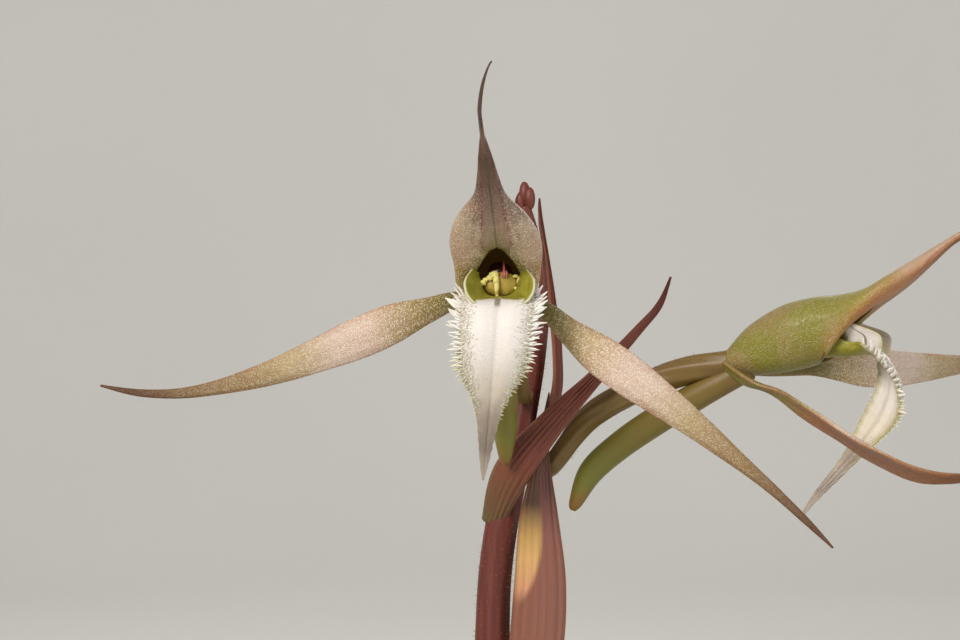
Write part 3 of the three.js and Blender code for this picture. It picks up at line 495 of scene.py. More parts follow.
def damp_mix(n, place):
    """Potting mix: fine bark, peat and root dust, dark because it's damp."""
    crumb = n("TexNoise", [place, per_mm(1.4), 8.0, 0.75])
    soil = n("ValToRGB", [crumb], [(0.35, "#1f140e"), (0.55, "#3d2818"), (0.75, "#6b4a30")])
    return {"Base Color": soil, "Roughness": 0.95, "Specular IOR Level": 0.2, "height": (0.7, crumb)}


def moss(n, place):
    """Cushion moss: tiny translucent leaves, yellow at their tips and dark between."""
    green = n("ValToRGB", ["@tip"], [(0.0, "#26330f"), (0.6, "#59702a"), (1.0, "#a3ab4e")])
    patch = n("TexNoise", [place, per_mm(9)])
    return {"Base Color": n("Mix", [patch, green, "#6f7d33"]), "Roughness": 0.6}


def root_skin(n, place):
    """Root: a spongy, papery velamen, silvery tan with a greener tip and fine hairs of dust."""
    cork = n("TexNoise", [place, per_mm(2.5), 4.0])
    skin = n("ValToRGB", [cork], [(0.3, "#8f7a56"), (0.7, "#cdbb95")])
    return {"Base Color": n("Mix", ["@along", skin, "#a9a777"]), "Roughness": 0.8, "height": (0.2, cork)}


def leaf_blade(n, place):
    """Leaf: waxy cuticle over fleshy tissue. Deep green and glossy above, paler and duller below,
    with parallel veins that meet at both ends and a purple flush at the foot of the stalk."""
    side = n("Math", ["@across"], operation="ABSOLUTE")
    cloud = n("TexNoise", [place, per_mm(14), 5.0, 0.6])
    main = n("MapRange", [veined(n, side, 8), 0.82, 1.0])
    upper = coated(
        n, n("ValToRGB", [cloud], [(0.3, "#2c471b"), (0.55, "#3d5c26"), (0.75, "#587434")]),
        (main, 0.0, 1.0, 0.32, "#8ba05a"), (side, 0.06, 0.0, 0.45, "#7c9150"),
        ("@along", 0.9, 1.0, 0.4, "#8c8445"),
    )
    under = coated(n, "#6d8650", (main, 0.0, 1.0, 0.32, "#93a56c"))
    blade = n("Mix", ["@back", upper, under])
    foot = n("ValToRGB", ["@along"], [(0.3, "#5a3a34"), (0.55, "#6f6a3c"), (0.85, "#66823f")])
    blade = n("Mix", ["@stalk", blade, foot])
    shine = n("MapRange", ["@back", 0.0, 1.0, 0.3, 0.55])
    fine = n("Math", ["@across", 34 * math.pi], operation="MULTIPLY")
    fine = n("Math", [fine], operation="SINE")
    relief = n("Math", [fine, 0.35, main], operation="MULTIPLY_ADD")
    return {"Base Color": blade, "Roughness": shine, "height": (0.05, relief), "flesh": (0.06, 0.001)}


def scape_skin(n, place):
    """Scape: a fleshy stalk, green brown at its foot and red brown above, with fine dark streaks."""
    rise = n("MapRange", [n("SeparateXYZ", [place]).outputs["Z"], 0.1, 0.36])
    skin = n("ValToRGB", [rise], [(0.0, "#6d6a3c"), (0.45, "#7a4e34"), (1.0, "#6f3123")])
    stretch = n("Mapping", {"Vector": place, "Scale": (1.0, 1.0, 0.12)})
    streak = n("TexNoise", [stretch, per_mm(0.8), 4.0])
    skin = coated(n, skin, (streak, 0.42, 0.66, 0.5, "#3f1a12"))
    return {"Base Color": skin, "Roughness": 0.5, "height": (0.08, streak), "flesh": (0.08, 0.001)}


def bract_tissue(n, place):
    """Bract: a thin papery leaf, red brown with darker parallel veins and a paler edge, its thin margin
    with a painted highlight along it. The one that wraps the capsule is pink and green inside, and
    darker towards its top as painted shade."""
    flush = n("ValToRGB", ["@along"], [(0.0, "#6d5a34"), (0.22, "#7d3f2c"), (1.0, "#5e2a22")])
    # The dark stops at the top of these two ramps, on the pink bract, are painted shade.
    outer = n("ValToRGB", ["@along"], [(0.2, "#8a5a46"), (0.62, "#8c5544"), (0.74, "#572f24")])
    glow_and_painted_shade = [(0.46, "#8f5d48"), (0.5, "#d39a72"), (0.57, "#d6ac6c"), (0.62, "#c09a58"), (0.7, "#4c3020")]
    glow = n("ValToRGB", ["@along"], glow_and_painted_shade)
    low = n("Math", [0.65, "@along"], operation="SUBTRACT")
    fold = n("Math", [low, low], operation="MULTIPLY")
    fold = n("Math", [fold, 22.0, "@across"], operation="MULTIPLY_ADD")
    tissue = n("Mix", ["@pink", flush, coated(n, glow, (fold, 0.04, 0.24, 1.0, outer))])
    veins = veined(n, "@across", 7)
    edge = n("Math", ["@across"], operation="ABSOLUTE")
    # The paler edge is the thin margin's own tone with a painted highlight along it.
    tissue = coated(n, tissue, (veins, 0.4, 1.0, 0.16, "#3d1a14"), (edge, 0.8, 1.0, 0.3, "#b98b6c"))
    return {"Base Color": tissue, "Roughness": 0.5, "height": (0.05, veins), "flesh": (0.25, 0.001)}


def painted_glints(n, place, tissue, share):
    """The tissue's colour with painted highlights as bright grains where its outer cells glint, and the
    relief that they make. They are a sixth of a millimetre apart, as the real ones are."""
    cells = n("TexVoronoi", [place, per_mm(0.165)])
    relief = n("MapRange", [cells, 0.62, 0.2])
    some = n("SeparateColor", [cells.outputs["Color"]]).outputs["Red"]
    some = n("MapRange", [some, 0.05, 0.8, 0.0, share])
    # The cream grains are painted highlights.
    return coated(n, tissue, (cells, 0.62, 0.2, some, "#f4ead2")), relief


def hood_tissue(n, place):
    """Hood, a sepal and two petals held together: thin watery tissue, olive at its foot, tan over its
    lobes with painted highlights on its grains, mauve brown between its two red front veins, brown up
    its neck. Young hoods are green with an amber front, and pale up the tail, partly their own tint and
    partly painted light. Inside it is red brown, darkened further as painted shade, and the light that
    comes through its thin wall is given as a weak glow."""
    blush = n("TexNoise", [place, per_mm(2.4), 3.0])
    wander = n("Math", [blush, 0.14, "@along"], operation="MULTIPLY_ADD")
    wander = n("Math", ["@young", -0.2, wander], operation="MULTIPLY_ADD")
    tissue = n(
        "ValToRGB", [wander],
        [(0.12, "#7f7a16"), (0.4, "#91842a"), (0.5, "#a08040"), (0.59, "#b8987a"),
         (0.74, "#b8a084"), (0.81, "#856e5a"), (0.9, "#5c493c"), (1.0, "#4e3b2c")],
    )
    flush = n("TexNoise", [place, per_mm(4.5), 2.0])
    side = n("Math", ["@across"], operation="ABSOLUTE")
    amber = n("MapRange", ["@along", 0.24, 0.5, 0.0, "@young"])
    mauve = n("ValToRGB", ["@along"], [(0.7, "#957868"), (0.84, "#67503f")])
    tissue = coated(
        n, tissue, (flush, 0.45, 0.7, 0.4, "#a97a62"), (side, 0.42, 0.72, amber, "#ad6c34"),
        ("@band", 1.08, 0.8, 0.65, mauve),
    )
    uneven = n("Math", [blush, 0.25, "@band"], operation="MULTIPLY_ADD")
    for at, strength in ((1.12, 0.7), (1.67, 0.35)):
        vein = n("Math", [uneven, at], operation="SUBTRACT")
        vein = n("Math", [vein], operation="ABSOLUTE")
        tissue = coated(n, tissue, (vein, 0.24, 0.0, strength, "#6e3126"))
    mouth = n("MapRange", ["@along", 0.7, 0.6, 0.0, 0.85])
    # Young hoods grow pale up the tail, partly their own pale face and partly painted light where that end
    # is lit.
    pale_end_and_painted_light = n("MapRange", ["@young", 0.0, 1.0, 0.0, 0.75])
    tissue = coated(
        n, tissue, ("@band", 0.1, 0.0, 0.35, "#584c30"), ("@edge", 1.4, 0.3, mouth, "#726c22"),
        ("@along", 0.87, 0.96, pale_end_and_painted_light, "#bfa793"),
    )
    # How strong the painted highlights on the grains are: weaker on young hoods and between the front veins,
    # and none up the neck.
    dull = n("MapRange", ["@young", 0.0, 1.0, 0.9, 0.27])
    plain = n("MapRange", ["@band", 1.08, 0.8, 1.0, 0.35])
    glint_share = n("Math", [dull, plain], operation="MULTIPLY")
    glint_share = n("MapRange", ["@along", 0.88, 0.66, 0.0, glint_share])
    tissue, grains = painted_glints(n, place, tissue, glint_share)
    # The inside is red brown, darkened further as painted shade of the throat.
    return {
        "Base Color": n("Mix", ["@back", tissue, "#6e4226"]), "Roughness": 0.38,
        "Emission Color": "#85622a", "Emission Strength": n("Math", ["@back", 0.05], operation="MULTIPLY"),
        "height": (0.045, grains), "flesh": (0.12, 0.001, (0.9, 0.6, 0.3)),
    }


def sepal_tissue(n, place):
    """Side sepal: watery tissue, olive where it leaves the tube, pink white at its widest with painted
    highlights on its grains, and tan brown along its tail, with three faint veins."""
    blush = n("TexNoise", [place, per_mm(3.0), 5.0, 0.65])
    wander = n("Math", [blush, 0.18, "@free"], operation="MULTIPLY_ADD")
    tissue = n(
        "ValToRGB", [wander],
        [(0.12, "#7c7029"), (0.22, "#a58c53"), (0.29, "#b89d78"), (0.36, "#cfb4a1"),
         (0.46, "#ccb5a3"), (0.56, "#ac956a"), (0.73, "#8f7245"), (1.0, "#5a3a20")],
    )
    tans = [(0.09, "#7e7430"), (0.24, "#9c5f2c"), (0.7, "#85532a"), (1.0, "#5d3a20")]
    tissue = n("Mix", ["@back", tissue, n("ValToRGB", [wander], tans)])
    side = n("Math", ["@across"], operation="ABSOLUTE")
    edge = n("Math", [side, blush], operation="MULTIPLY")
    veins = veined(n, "@across", 3)
    tissue = coated(n, tissue, (veins, 0.55, 1.0, 0.14, "#8a6c4c"), (edge, 0.36, 0.56, 0.55, "#a9714f"))
    # How strong the painted highlights on the grains are: weaker at the foot and on the back, and none along
    # the tail.
    foot = n("MapRange", ["@free", 0.0, 0.12, 0.25, 1.0])
    face = n("MapRange", ["@back", 0.0, 1.0, 0.95, 0.2375])
    glint_share = n("Math", [foot, face], operation="MULTIPLY")
    glint_share = n("MapRange", ["@free", 0.9, 0.2, 0.0, glint_share])
    tissue, grains = painted_glints(n, place, tissue, glint_share)
    return {
        "Base Color": tissue, "Roughness": 0.36, "height": (0.045, grains),
        "flesh": (0.2, 0.001, (1.0, 0.7, 0.4)),
    }


def ovary_skin(n, place):
    """Ovary and spur: smooth fleshy stalks, olive brown with darker ribs and a green spur tip."""
    blush = n("TexNoise", [place, per_mm(1.6), 4.0])
    wander = n("Math", [blush, 0.3, "@along"], operation="MULTIPLY_ADD")
    olives = [(0.1, "#74592a"), (0.5, "#7c6c2a"), (0.85, "#74742a"), (1.12, "#83642a")]
    skin = n("ValToRGB", [wander], olives)
    return {"Base Color": skin, "Roughness": 0.45, "height": (0.05, blush), "flesh": (0.12, 0.001)}


def lip_tissue(n, place):
    """Lip: a thick white blade covered in water-filled cells that scatter light like frost. Its
    channel and collar are green with a pale rim, its midvein is grey, its margin greenish and its
    tail beige and half clear."""
    cells = n("TexVoronoi", [place, per_mm(0.17)])
    cloud = n("TexNoise", [place, per_mm(1.2), 4.0])
    wander = n("Math", [cloud, 0.1, "@along"], operation="MULTIPLY_ADD")
    white = n(
        "ValToRGB", [wander],
        [(0.3, "#e0d9d4"), (0.6, "#eae3da"), (0.72, "#ddd2c0"), (0.82, "#b3a595"),
         (0.93, "#988a7e"), (1.0, "#b5a796")],
    )
    side = n("Math", ["@across"], operation="ABSOLUTE")
    wide = n("MapRange", [side, 0.09, 0.05])
    notch = n("MapRange", ["@along", 0.39, 0.365, 0.0, wide])
    vein = n("MapRange", [side, 0.1, 0.0, 0.0, 0.18])
    vein = n("Math", [vein, notch], operation="MAXIMUM")
    upper = n("MapRange", ["@along", 0.84, 0.74, 0.0, 0.75])
    white = coated(n, white, (vein, 0.0, 1.0, 1.0, "#8f887c"), (side, 0.7, 1.0, upper, "#b9b06c"))
    olive = n("ValToRGB", [cloud], [(0.35, "#807e1c"), (0.65, "#9c9638")])
    tissue = n("Mix", ["@green", white, n("Mix", ["@rim", olive, "#ddd9ae"])])
    return {
        "Base Color": tissue, "Roughness": 0.42, "Specular IOR Level": 0.45, "height": (0.05, cells),
        "flesh": (0.25, 0.0012, (1.0, 0.9, 0.75)),
    }


def fringe_tissue(n, place):
    """Fringe and frost: drawn-out cells of the lip's skin, clear white, with a yellow green foot
    along the edge, partly their own tint and partly painted shade between the teeth."""
    # The olive at the teeth's feet is partly their own tint and partly painted shade between the teeth.
    foot = n("Mix", ["@pale", n("Mix", ["@tone", "#948b36", "#c6ba78"]), "#ece6de"])
    end = n("Mix", ["@pale", "#ded6a2", "#fbf7ee"])
    clear = coated(n, foot, ("@tip", 0.1, 0.7, 1.0, end))
    frost = n("TexNoise", [place, per_mm(0.25)])
    return {
        "Base Color": clear, "Roughness": 0.4, "height": (0.03, frost),
        "flesh": (0.3, 0.0006, (1.0, 0.95, 0.85)),
    }


def column_tissue(n, place):
    """Column: a moist fleshy stalk, olive yellow at the stigma, with a pink red streak above it and
    maroon behind the anther, darkened there as painted shade of the hood's inside."""
    moist = n("TexNoise", [place, per_mm(0.9), 3.0])
    green = n("ValToRGB", [moist], [(0.3, "#aa9640"), (0.7, "#cdb45e")])
    tissue = coated(n, green, ("@red", 0.0, 0.5, 1.0, "#d47b68"), ("@red", 0.5, 1.0, 1.0, "#471a12"))
    return {"Base Color": tissue, "Roughness": 0.25, "height": (0.04, moist), "flesh": (0.2, 0.001)}


def pollen(n, place):
    """Pollen masses: mealy grains packed in wax, pale yellow."""
    meal = n("TexVoronoi", [place, per_mm(0.14)])
    yellow = n("ValToRGB", [meal], [(0.0, "#fff2a2"), (0.7, "#f0dc7c")])
    return {"Base Color": yellow, "Roughness": 0.6, "height": (0.05, meal), "flesh": (0.2, 0.0005)}


def bud_tissue(n, place):
    """Bud: sepals folded shut, green with brown seams and tip, and painted highlights on its grains."""
    skin = n("ValToRGB", ["@along"], [(0.1, "#6e4a2c"), (0.5, "#8d8742"), (1.0, "#6c4a36")])
    skin = coated(n, skin, (veined(n, "@across", 6), 0.8, 1.0, 0.6, "#5a3a28"))
    # Painted highlights on its grains.
    skin, grains = painted_glints(n, place, skin, 0.3)
    return {"Base Color": skin, "Roughness": 0.45, "height": (0.03, grains), "flesh": (0.1, 0.001)}


def capsule_skin(n, place):
    """Capsule: a ripening pod, dull green with brown ribs and a dried flower at its end."""
    skin = n("ValToRGB", ["@along"], [(0.0, "#7b6a34"), (0.5, "#97913f"), (1.0, "#80602f")])
    skin = coated(n, skin, (veined(n, "@across", 12), 0.5, 1.0, 0.5, "#6a4c28"))
    wrinkle = n("TexNoise", [place, per_mm(0.9), 5.0])
    husk = n("ValToRGB", [wrinkle], [(0.3, "#3d2415"), (0.7, "#7a5231")])
    return {"Base Color": n("Mix", ["@dry", skin, husk]), "Roughness": 0.6, "height": (0.1, wrinkle)}


def down_hair(n, place):
    """Down: short clear gland hairs, wax white and ending in a tiny drop."""
    clear = n("Mix", ["@tip", "#7d5542", "#bfa88f"])
    frost = n("TexNoise", [place, per_mm(0.2)])
    return {"Base Color": clear, "Roughness": 0.35, "height": (0.01, frost)}


PAINTS = (
    terracotta, pine_bark, perlite, damp_mix, moss, root_skin, leaf_blade, scape_skin, bract_tissue,
    hood_tissue, sepal_tissue, ovary_skin, lip_tissue, fringe_tissue, column_tissue, pollen,
    bud_tissue, capsule_skin, down_hair,
)
FINISH = {paint.__name__: material(paint.__name__, paint) for paint in PAINTS}


# What repeats: trees of geometry nodes
def new_tree(name, sizes):
    """A tree that takes a host's shape and the named sizes, and gives a shape back."""
    tree = bpy.data.node_groups.new(name, "GeometryNodeTree")
    tree.interface.new_socket("Geometry", in_out="INPUT", socket_type="NodeSocketGeometry")
    tree.interface.new_socket("Geometry", in_out="OUTPUT", socket_type="NodeSocketGeometry")
    for label, kind in sizes.items():
        tree.interface.new_socket(label, in_out="INPUT", socket_type="NodeSocket" + kind)
    return tree, functools.partial(add, tree)


def stand(n, asked, points, heading, reach):
    """Stands one of the kinds on each point, along heading but for a random lean and turned at
    random, and gives each a random tone."""
    stray = {"Min": (-1.0, -1.0, -1.0), "Max": (1.0, 1.0, 1.0), "Seed": asked["Seed"]}
    stray = n("RandomValue", stray, data_type="FLOAT_VECTOR")
    stray = n("VectorMath", [stray, asked["Lean"]], operation="SCALE")
    heading = n("VectorMath", [heading, stray], operation="ADD")
    spin = {"Min": (0.0, 0.0, 0.0), "Max": (0.0, 0.0, 2 * math.pi), "Seed": asked["Seed"]}
    spin = n("EulerToRotation", [n("RandomValue", spin, data_type="FLOAT_VECTOR")])
    aim = n("AlignRotationToVector", {"Vector": heading}, axis="Z")
    aim = n("RotateRotation", {"Rotation": aim, "Rotate By": spin}, rotation_space="LOCAL")
    kinds = {"Collection": asked["Kinds"], "Separate Children": True, "Reset Children": True}
    kinds = n("CollectionInfo", kinds)
    placed = n("InstanceOnPoints", {
        "Points": points, "Instance": kinds, "Pick Instance": True, "Rotation": aim, "Scale": reach,
    })
    tone = n("RandomValue", {"Min": 0.0, "Max": 1.0, "Seed": TONE_SEED}, data_type="FLOAT")
    toned = {"Geometry": placed, "Name": "tone", "Value": tone}
    toned = n("StoreNamedAttribute", toned, data_type="FLOAT", domain="INSTANCE")
    whole = n("RealizeInstances", {"Geometry": toned})
    painted = n("SetMaterial", {"Geometry": whole, "Material": asked["Finish"]})
    n("GroupOutput", {"Geometry": painted})


def scatter_tree():
    """Strews kinds over a host's faces where its mark "room" allows, leaning at random by Lean and
    combed along its mark "aim" by Comb."""
    tree, n = new_tree("strewn", {
        "Kinds": "Collection", "Finish": "Material", "Density": "Float", "Spacing": "Float",
        "Smallest": "Float", "Largest": "Float", "Lean": "Float", "Comb": "Float", "Seed": "Int",
    })
    asked = n("GroupInput").outputs
    room = n("InputNamedAttribute", {"Name": "room"}, data_type="FLOAT")
    spots = {
        "Mesh": asked["Geometry"], "Distance Min": asked["Spacing"], "Density Max": asked["Density"],
        "Density Factor": room, "Seed": asked["Seed"],
    }
    spots = n("DistributePointsOnFaces", spots, distribute_method="POISSON")
    aim = n("InputNamedAttribute", {"Name": "aim"}, data_type="FLOAT_VECTOR")
    combed = n("VectorMath", [aim, asked["Comb"]], operation="SCALE")
    heading = n("VectorMath", [spots.outputs["Normal"], combed], operation="ADD")
    reach = {"Min": asked["Smallest"], "Max": asked["Largest"], "Seed": SIZE_SEED}
    reach = n("RandomValue", reach, data_type="FLOAT")
    stand(n, asked, spots, heading, reach)
    return tree


def fringe_tree():
    """Sets kinds along a host's line at even steps, each along the line's mark "aim", as long as
    its mark "reach", with a random lean and a random shortening."""
    tree, n = new_tree("fringed", {
        "Kinds": "Collection", "Finish": "Material", "Teeth": "Int", "Lean": "Float",
        "Shortest": "Float", "Longest": "Float", "Seed": "Int",
    })
    asked = n("GroupInput").outputs
    line = n("MeshToCurve", {"Mesh": asked["Geometry"]})
    even = n("ResampleCurve", {"Curve": line, "Count": asked["Teeth"]}, mode="COUNT")
    aim = n("InputNamedAttribute", {"Name": "aim"}, data_type="FLOAT_VECTOR")
    reach = n("InputNamedAttribute", {"Name": "reach"}, data_type="FLOAT")
    share = {"Min": asked["Shortest"], "Max": asked["Longest"], "Seed": asked["Seed"]}
    share = n("RandomValue", share, data_type="FLOAT")
    stand(n, asked, even, aim, n("Math", [reach, share], operation="MULTIPLY"))
    return tree


TREES = {"strewn": scatter_tree(), "fringed": fringe_tree()}


def linked(name, data):
    """A new object in the scene."""
    made = bpy.data.objects.new(name, data)
    bpy.context.scene.collection.objects.link(made)
    return made


def finished(carrier):
    """The plain mesh that an object's modifiers make. They and the object are removed."""
    bpy.context.view_layer.update()
    ready = carrier.evaluated_get(bpy.context.evaluated_depsgraph_get())
    made = bpy.data.meshes.new_from_object(ready)
    carrier.modifiers.clear()
    bpy.data.objects.remove(carrier)
    return made


def kinds_of(name, growths):
    """A collection of the kinds that a tree picks from. It is never linked into the scene."""
    collection = bpy.data.collections.new(name)
    for k, growth in enumerate(growths):
        collection.objects.link(bpy.data.objects.new(f"{name}_{k}", growth.mesh(name)))
    return collection


def grown(tree, host, kinds, finish, **sizes):
    """The plain mesh that a tree makes on a host mesh."""
    carrier = linked("carrier", host)
    modifier = carrier.modifiers.new(tree, "NODES")
    modifier.node_group = TREES[tree]
    asked = {"Kinds": kinds, "Finish": FINISH[finish], **sizes}
    for item in TREES[tree].interface.items_tree:
        if item.in_out == "INPUT" and item.name in asked:
            modifier[item.identifier] = asked[item.name]
    return finished(carrier)


def piece(name, meshes, slot, *nodes):
    """One finished piece from one or more meshes, riding on the plant's body."""
    parts = [linked(name, mesh) for mesh in meshes]
    whole = parts[0]
    if len(parts) > 1:
        with bpy.context.temp_override(active_object=whole, selected_editable_objects=parts):
            bpy.ops.object.join()
    whole.name = name
    whole.data.name = name
    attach(whole, "root")
    if nodes:
        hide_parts(*nodes)


# Kinds that the trees strew
def spike(length, foot, tip, sides, bend, rows):
    """A tapered hair or tooth along z, with "tip" from 0 at its foot to 1."""
    t = np.linspace(0, 1, rows + 1)
    line = [[bend * s * s, 0, s, foot + (tip - foot) * s] for s in t]
    points, faces, marks = tube(line, rows, sides)
    return Growth().add((points * length, faces, {"tip": marks["along"]}))


def chip(seed):
    """A split bark chip: a bent slab with broken corners."""
    corners = 7
    draw = np.random.default_rng(seed)
    long, wide, deep = draw.uniform(4.5, 7.5), draw.uniform(2.8, 4.6), draw.uniform(1.0, 1.9)
    angles = np.sort(draw.uniform(0, 2 * math.pi, corners)) + np.linspace(0, 0.6, corners)
    rim = np.stack([np.cos(angles) * long, np.sin(angles) * wide], 1)
    rings = []
    for z, share in ((-deep, 0.78), (-deep * 0.3, 1.0), (deep * 0.5, 0.96), (deep, 0.7)):
        ring = rim * (share + draw.uniform(-0.07, 0.07, (corners, 1)))
        lift = z + draw.uniform(-0.3, 0.3, corners) - 0.02 * ring[:, 0] ** 2
        rings.append(np.column_stack([ring, lift]))
    middle = [rings[0].mean(0), rings[-1].mean(0)]
    return Growth().add((np.concatenate([*rings, middle]), walled(len(rings), corners), {}))


def blob(centre, radii, rows, sides, lumps, turn=0.0):
    """A lumpy pebble, berry or pad."""
    arc = np.linspace(0, math.pi, rows + 1)
    profile = [(math.sin(a), -math.cos(a)) for a in arc]

    def shift(p):
        wave = np.sin(3.1 * p[:, 0] + turn) + np.sin(4.3 * p[:, 1] + 2 * turn) * np.cos(3.7 * p[:, 2])
        return p * (1 + lumps * wave[:, None]) * np.array(radii) + np.array(centre)

    return turned(profile, sides, shift)


def tuft(seed):
    """A tuft of moss: a few arched leaves a millimetre or two long."""
    leaves = 7
    draw = np.random.default_rng(seed)
    made = Growth()
    for k in range(leaves):
        turn = 2 * math.pi * k / leaves + draw.uniform(-0.3, 0.3)
        out = draw.uniform(0.5, 1.0)
        tall = draw.uniform(1.2, 2.2)
        heading = np.array([math.cos(turn), math.sin(turn), 0.0])
        line = []
        for s in (0, 0.5, 1):
            at = heading * out * s * s + [0, 0, tall * s * (1.25 - 0.35 * s)]
            line.append([*at, 0.22 * (1.05 - s)])
        points, faces, marks = tube(line, 2, 3)
        made.add((points, faces, {"tip": marks["along"]}))
    return made


# Pot and what fills it
def inner_radius(height):
    """The radius inside the pot's wall."""
    rise = (height - POT["floor"]) / (POT["height"] - POT["floor"])
    foot = POT["base"] - POT["foot_wall"]
    return foot + rise * (POT["rim"] - POT["wall"] - foot)


def pot():
    """The pot, turned from its profile, with its drain holes cut out."""
    top, rim, low, floor = POT["height"], POT["rim"], POT["height"] - POT["rim_height"], POT["floor"]
    profile = [
        (0, 0), (POT["base"] - 1.5, 0), (POT["base"], 1.5), (POT["waist"], low),
        (rim - 3.2, low + 1.2), (rim, top - 2), (rim - 1.2, top), (inner_radius(top) + 1, top),
        (inner_radius(top - 2), top - 2), (inner_radius(floor + 2), floor + 2),
        (inner_radius(floor) - 2, floor), (0, floor),
    ]

    def thrown(p):
        """Turning rings and a hand-made wobble, on the walls alone."""
        radius = np.hypot(p[:, 0], p[:, 1])
        turn = np.arctan2(p[:, 1], p[:, 0])
        wall = smooth(radius, 36, 42) * smooth(p[:, 2], 2, 8)
        rings = 0.13 * np.sin(p[:, 2] * 1.45 + 0.8 * np.sin(turn)) + 0.07 * np.sin(p[:, 2] * 3.9)
        wobble = 0.22 * np.sin(2 * turn + 0.6) + 0.1 * np.sin(5 * turn)
        share = 1 + wall * (rings + wobble - 0.2) / np.maximum(radius, 1)
        return np.column_stack([p[:, :2] * share[:, None], p[:, 2]])

    body = Growth().add(turned(rounded(profile, 1.6, 1.3), 144, thrown))
    whole = linked("clay", body.mesh("clay", "terracotta"))
    drains = Growth()
    for degrees in (90, 210, 330):
        at = bearing(degrees) * POT["drain_circle"]
        line = [[at[0], at[1], -2, POT["drain"]], [at[0], at[1], floor + 2, POT["drain"]]]
        drains.add(tube(line, 2, 32))
    drill = linked("drill", drains.mesh("drill"))
    cut = whole.modifiers.new("drains", "BOOLEAN")
    cut.object, cut.operation, cut.solver = drill, "DIFFERENCE", "EXACT"
    made = finished(whole)
    bpy.data.objects.remove(drill)
    piece("terracotta_pot", [made], "terracotta", "pot")


def mix_height(p):
    """The mix's surface: a low mound with lumps and crumbs."""
    edge = inner_radius(MIX_TOP) - GAP
    rise = MIX_MOUND * (1 - (np.hypot(p[:, 0], p[:, 1]) / edge) ** 2)
    x, y = p[:, 0], p[:, 1]
    lumps = np.sin(0.53 * x + 1.3) * np.cos(0.47 * y)
    lumps += np.sin(0.31 * x - 0.44 * y) * np.cos(0.61 * x + 0.2 * y)
    crumbs = np.sin(1.9 * x + 0.7 * y) * np.sin(1.6 * y - 0.5 * x) + 0.6 * np.sin(3.7 * x) * np.sin(3.3 * y)
    return MIX_TOP + rise + 0.5 * MIX_LUMP * lumps + 0.35 * crumbs


def mix():
    """The mix fills the pot. Its top is a disc of fine rings, lumpy as the CAD solid's is."""
    floor = POT["floor"] + GAP
    edge = inner_radius(MIX_TOP - 2) - GAP
    profile = [(0, floor), (inner_radius(floor) - 2 - GAP, floor)]
    profile += [(inner_radius(floor + 2) - GAP, floor + 2)]
    profile += [(inner_radius(h) - GAP, h) for h in np.linspace(20, MIX_TOP - 4, 6)]
    profile += [(edge * s, MIX_TOP) for s in np.linspace(1, 0.02, 54)] + [(0, MIX_TOP)]

    def settle(p):
        top = p[:, 2] > MIX_TOP - 1
        return np.column_stack([p[:, :2], np.where(top, mix_height(p), p[:, 2])])

    shell = turned(profile, 120, settle)
    ground = Growth().add(shell).mesh("ground", "damp_mix")
    x, y, height = shell[0].T
    radius = np.hypot(x, y)
    room = (height > MIX_TOP - 3) * smooth(radius, edge - 1, edge - 5) * smooth(radius, 4, 8)
    for leaf in LEAVES:
        at = bearing(leaf[0]) * PETIOLE_CIRCLE
        room = room * smooth(np.hypot(x - at[0], y - at[1]), 3.5, 6)
    patch = np.sin(0.12 * x + 0.9) * np.sin(0.1 * y - 0.4) + 0.3 * np.sin(0.4 * x)
    everywhere = Growth().add(shell, room=room).mesh("everywhere")
    patches = Growth().add(shell, room=room * smooth(patch, 0.25, 0.7)).mesh("patches")
    chips = kinds_of("chip", [chip(k) for k in range(6)])
    beads = [Growth().add(blob((0, 0, 0), (1.5, 1.3, 1.1), 5, 7, 0.16, k)) for k in range(3)]
    beads = kinds_of("bead", beads)
    tufts = kinds_of("tuft", [tuft(k) for k in range(3)])
    piece("potting_mix_ground", [ground], "potting_mix", "potting_mix")
    # How many to a square metre, how far apart, their smallest and largest size, their lean and seed
    for name, host, kinds, finish, density, spacing, smallest, largest, lean, seed in (
        ("bark_chips", everywhere, chips, "pine_bark", 90000.0, 0.0042, 0.45, 0.95, 0.42, 4),
        ("perlite_grains", everywhere, beads, "perlite", 8000.0, 0.007, 0.6, 1.25, 0.5, 9),
        ("moss_cushions", patches, tufts, "moss", 700000.0, 0.0009, 0.7, 1.5, 0.35, 2),
    ):
        strewn = grown(
            "strewn", host, kinds, finish, Density=density, Spacing=spacing, Smallest=smallest,
            Largest=largest, Lean=lean, Seed=seed,
        )
        piece(name, [strewn], "potting_mix")


def rootstock():
    """The crown, and the fleshy roots that spread from it."""
    made = Growth()

    def knobs(t, turn):
        return 1 + 0.06 * np.sin(3 * turn + 9 * t) + 0.04 * np.sin(7 * turn - 14 * t)

    top, radius = CROWN_TOP, CROWN_RADIUS
    crown = [[0, 0, top - 24, 4], [0, 0, top - 16, 9], [0, 0, top - 8, radius], [0, 0, top, radius - 0.5]]
    made.add(tube(crown, 24, 40, knobs))
    for k in range(ROOTS):
        out = bearing(360 / ROOTS * k + 12 + 17 * math.sin(2.4 * k))
        reach = ROOT_LENGTH * (0.62 + 0.1 * math.cos(3.1 * k))
        rows = [
            [*(out * reach * share)[:2], top - drop, width * ROOT_RADIUS]
            for share, drop, width in ((0.12, 12, 0.9), (0.6, 18, 1.1), (0.95, 38, 1), (1.05, 62, 0.45))
        ]
        made.add(tube(rows, 48, 20, lambda t, turn: 1 + 0.05 * np.sin(40 * t + 2 * turn)))
    piece("fleshy_roots", [made.mesh("roots", "root_skin")], "root", "rootstock")


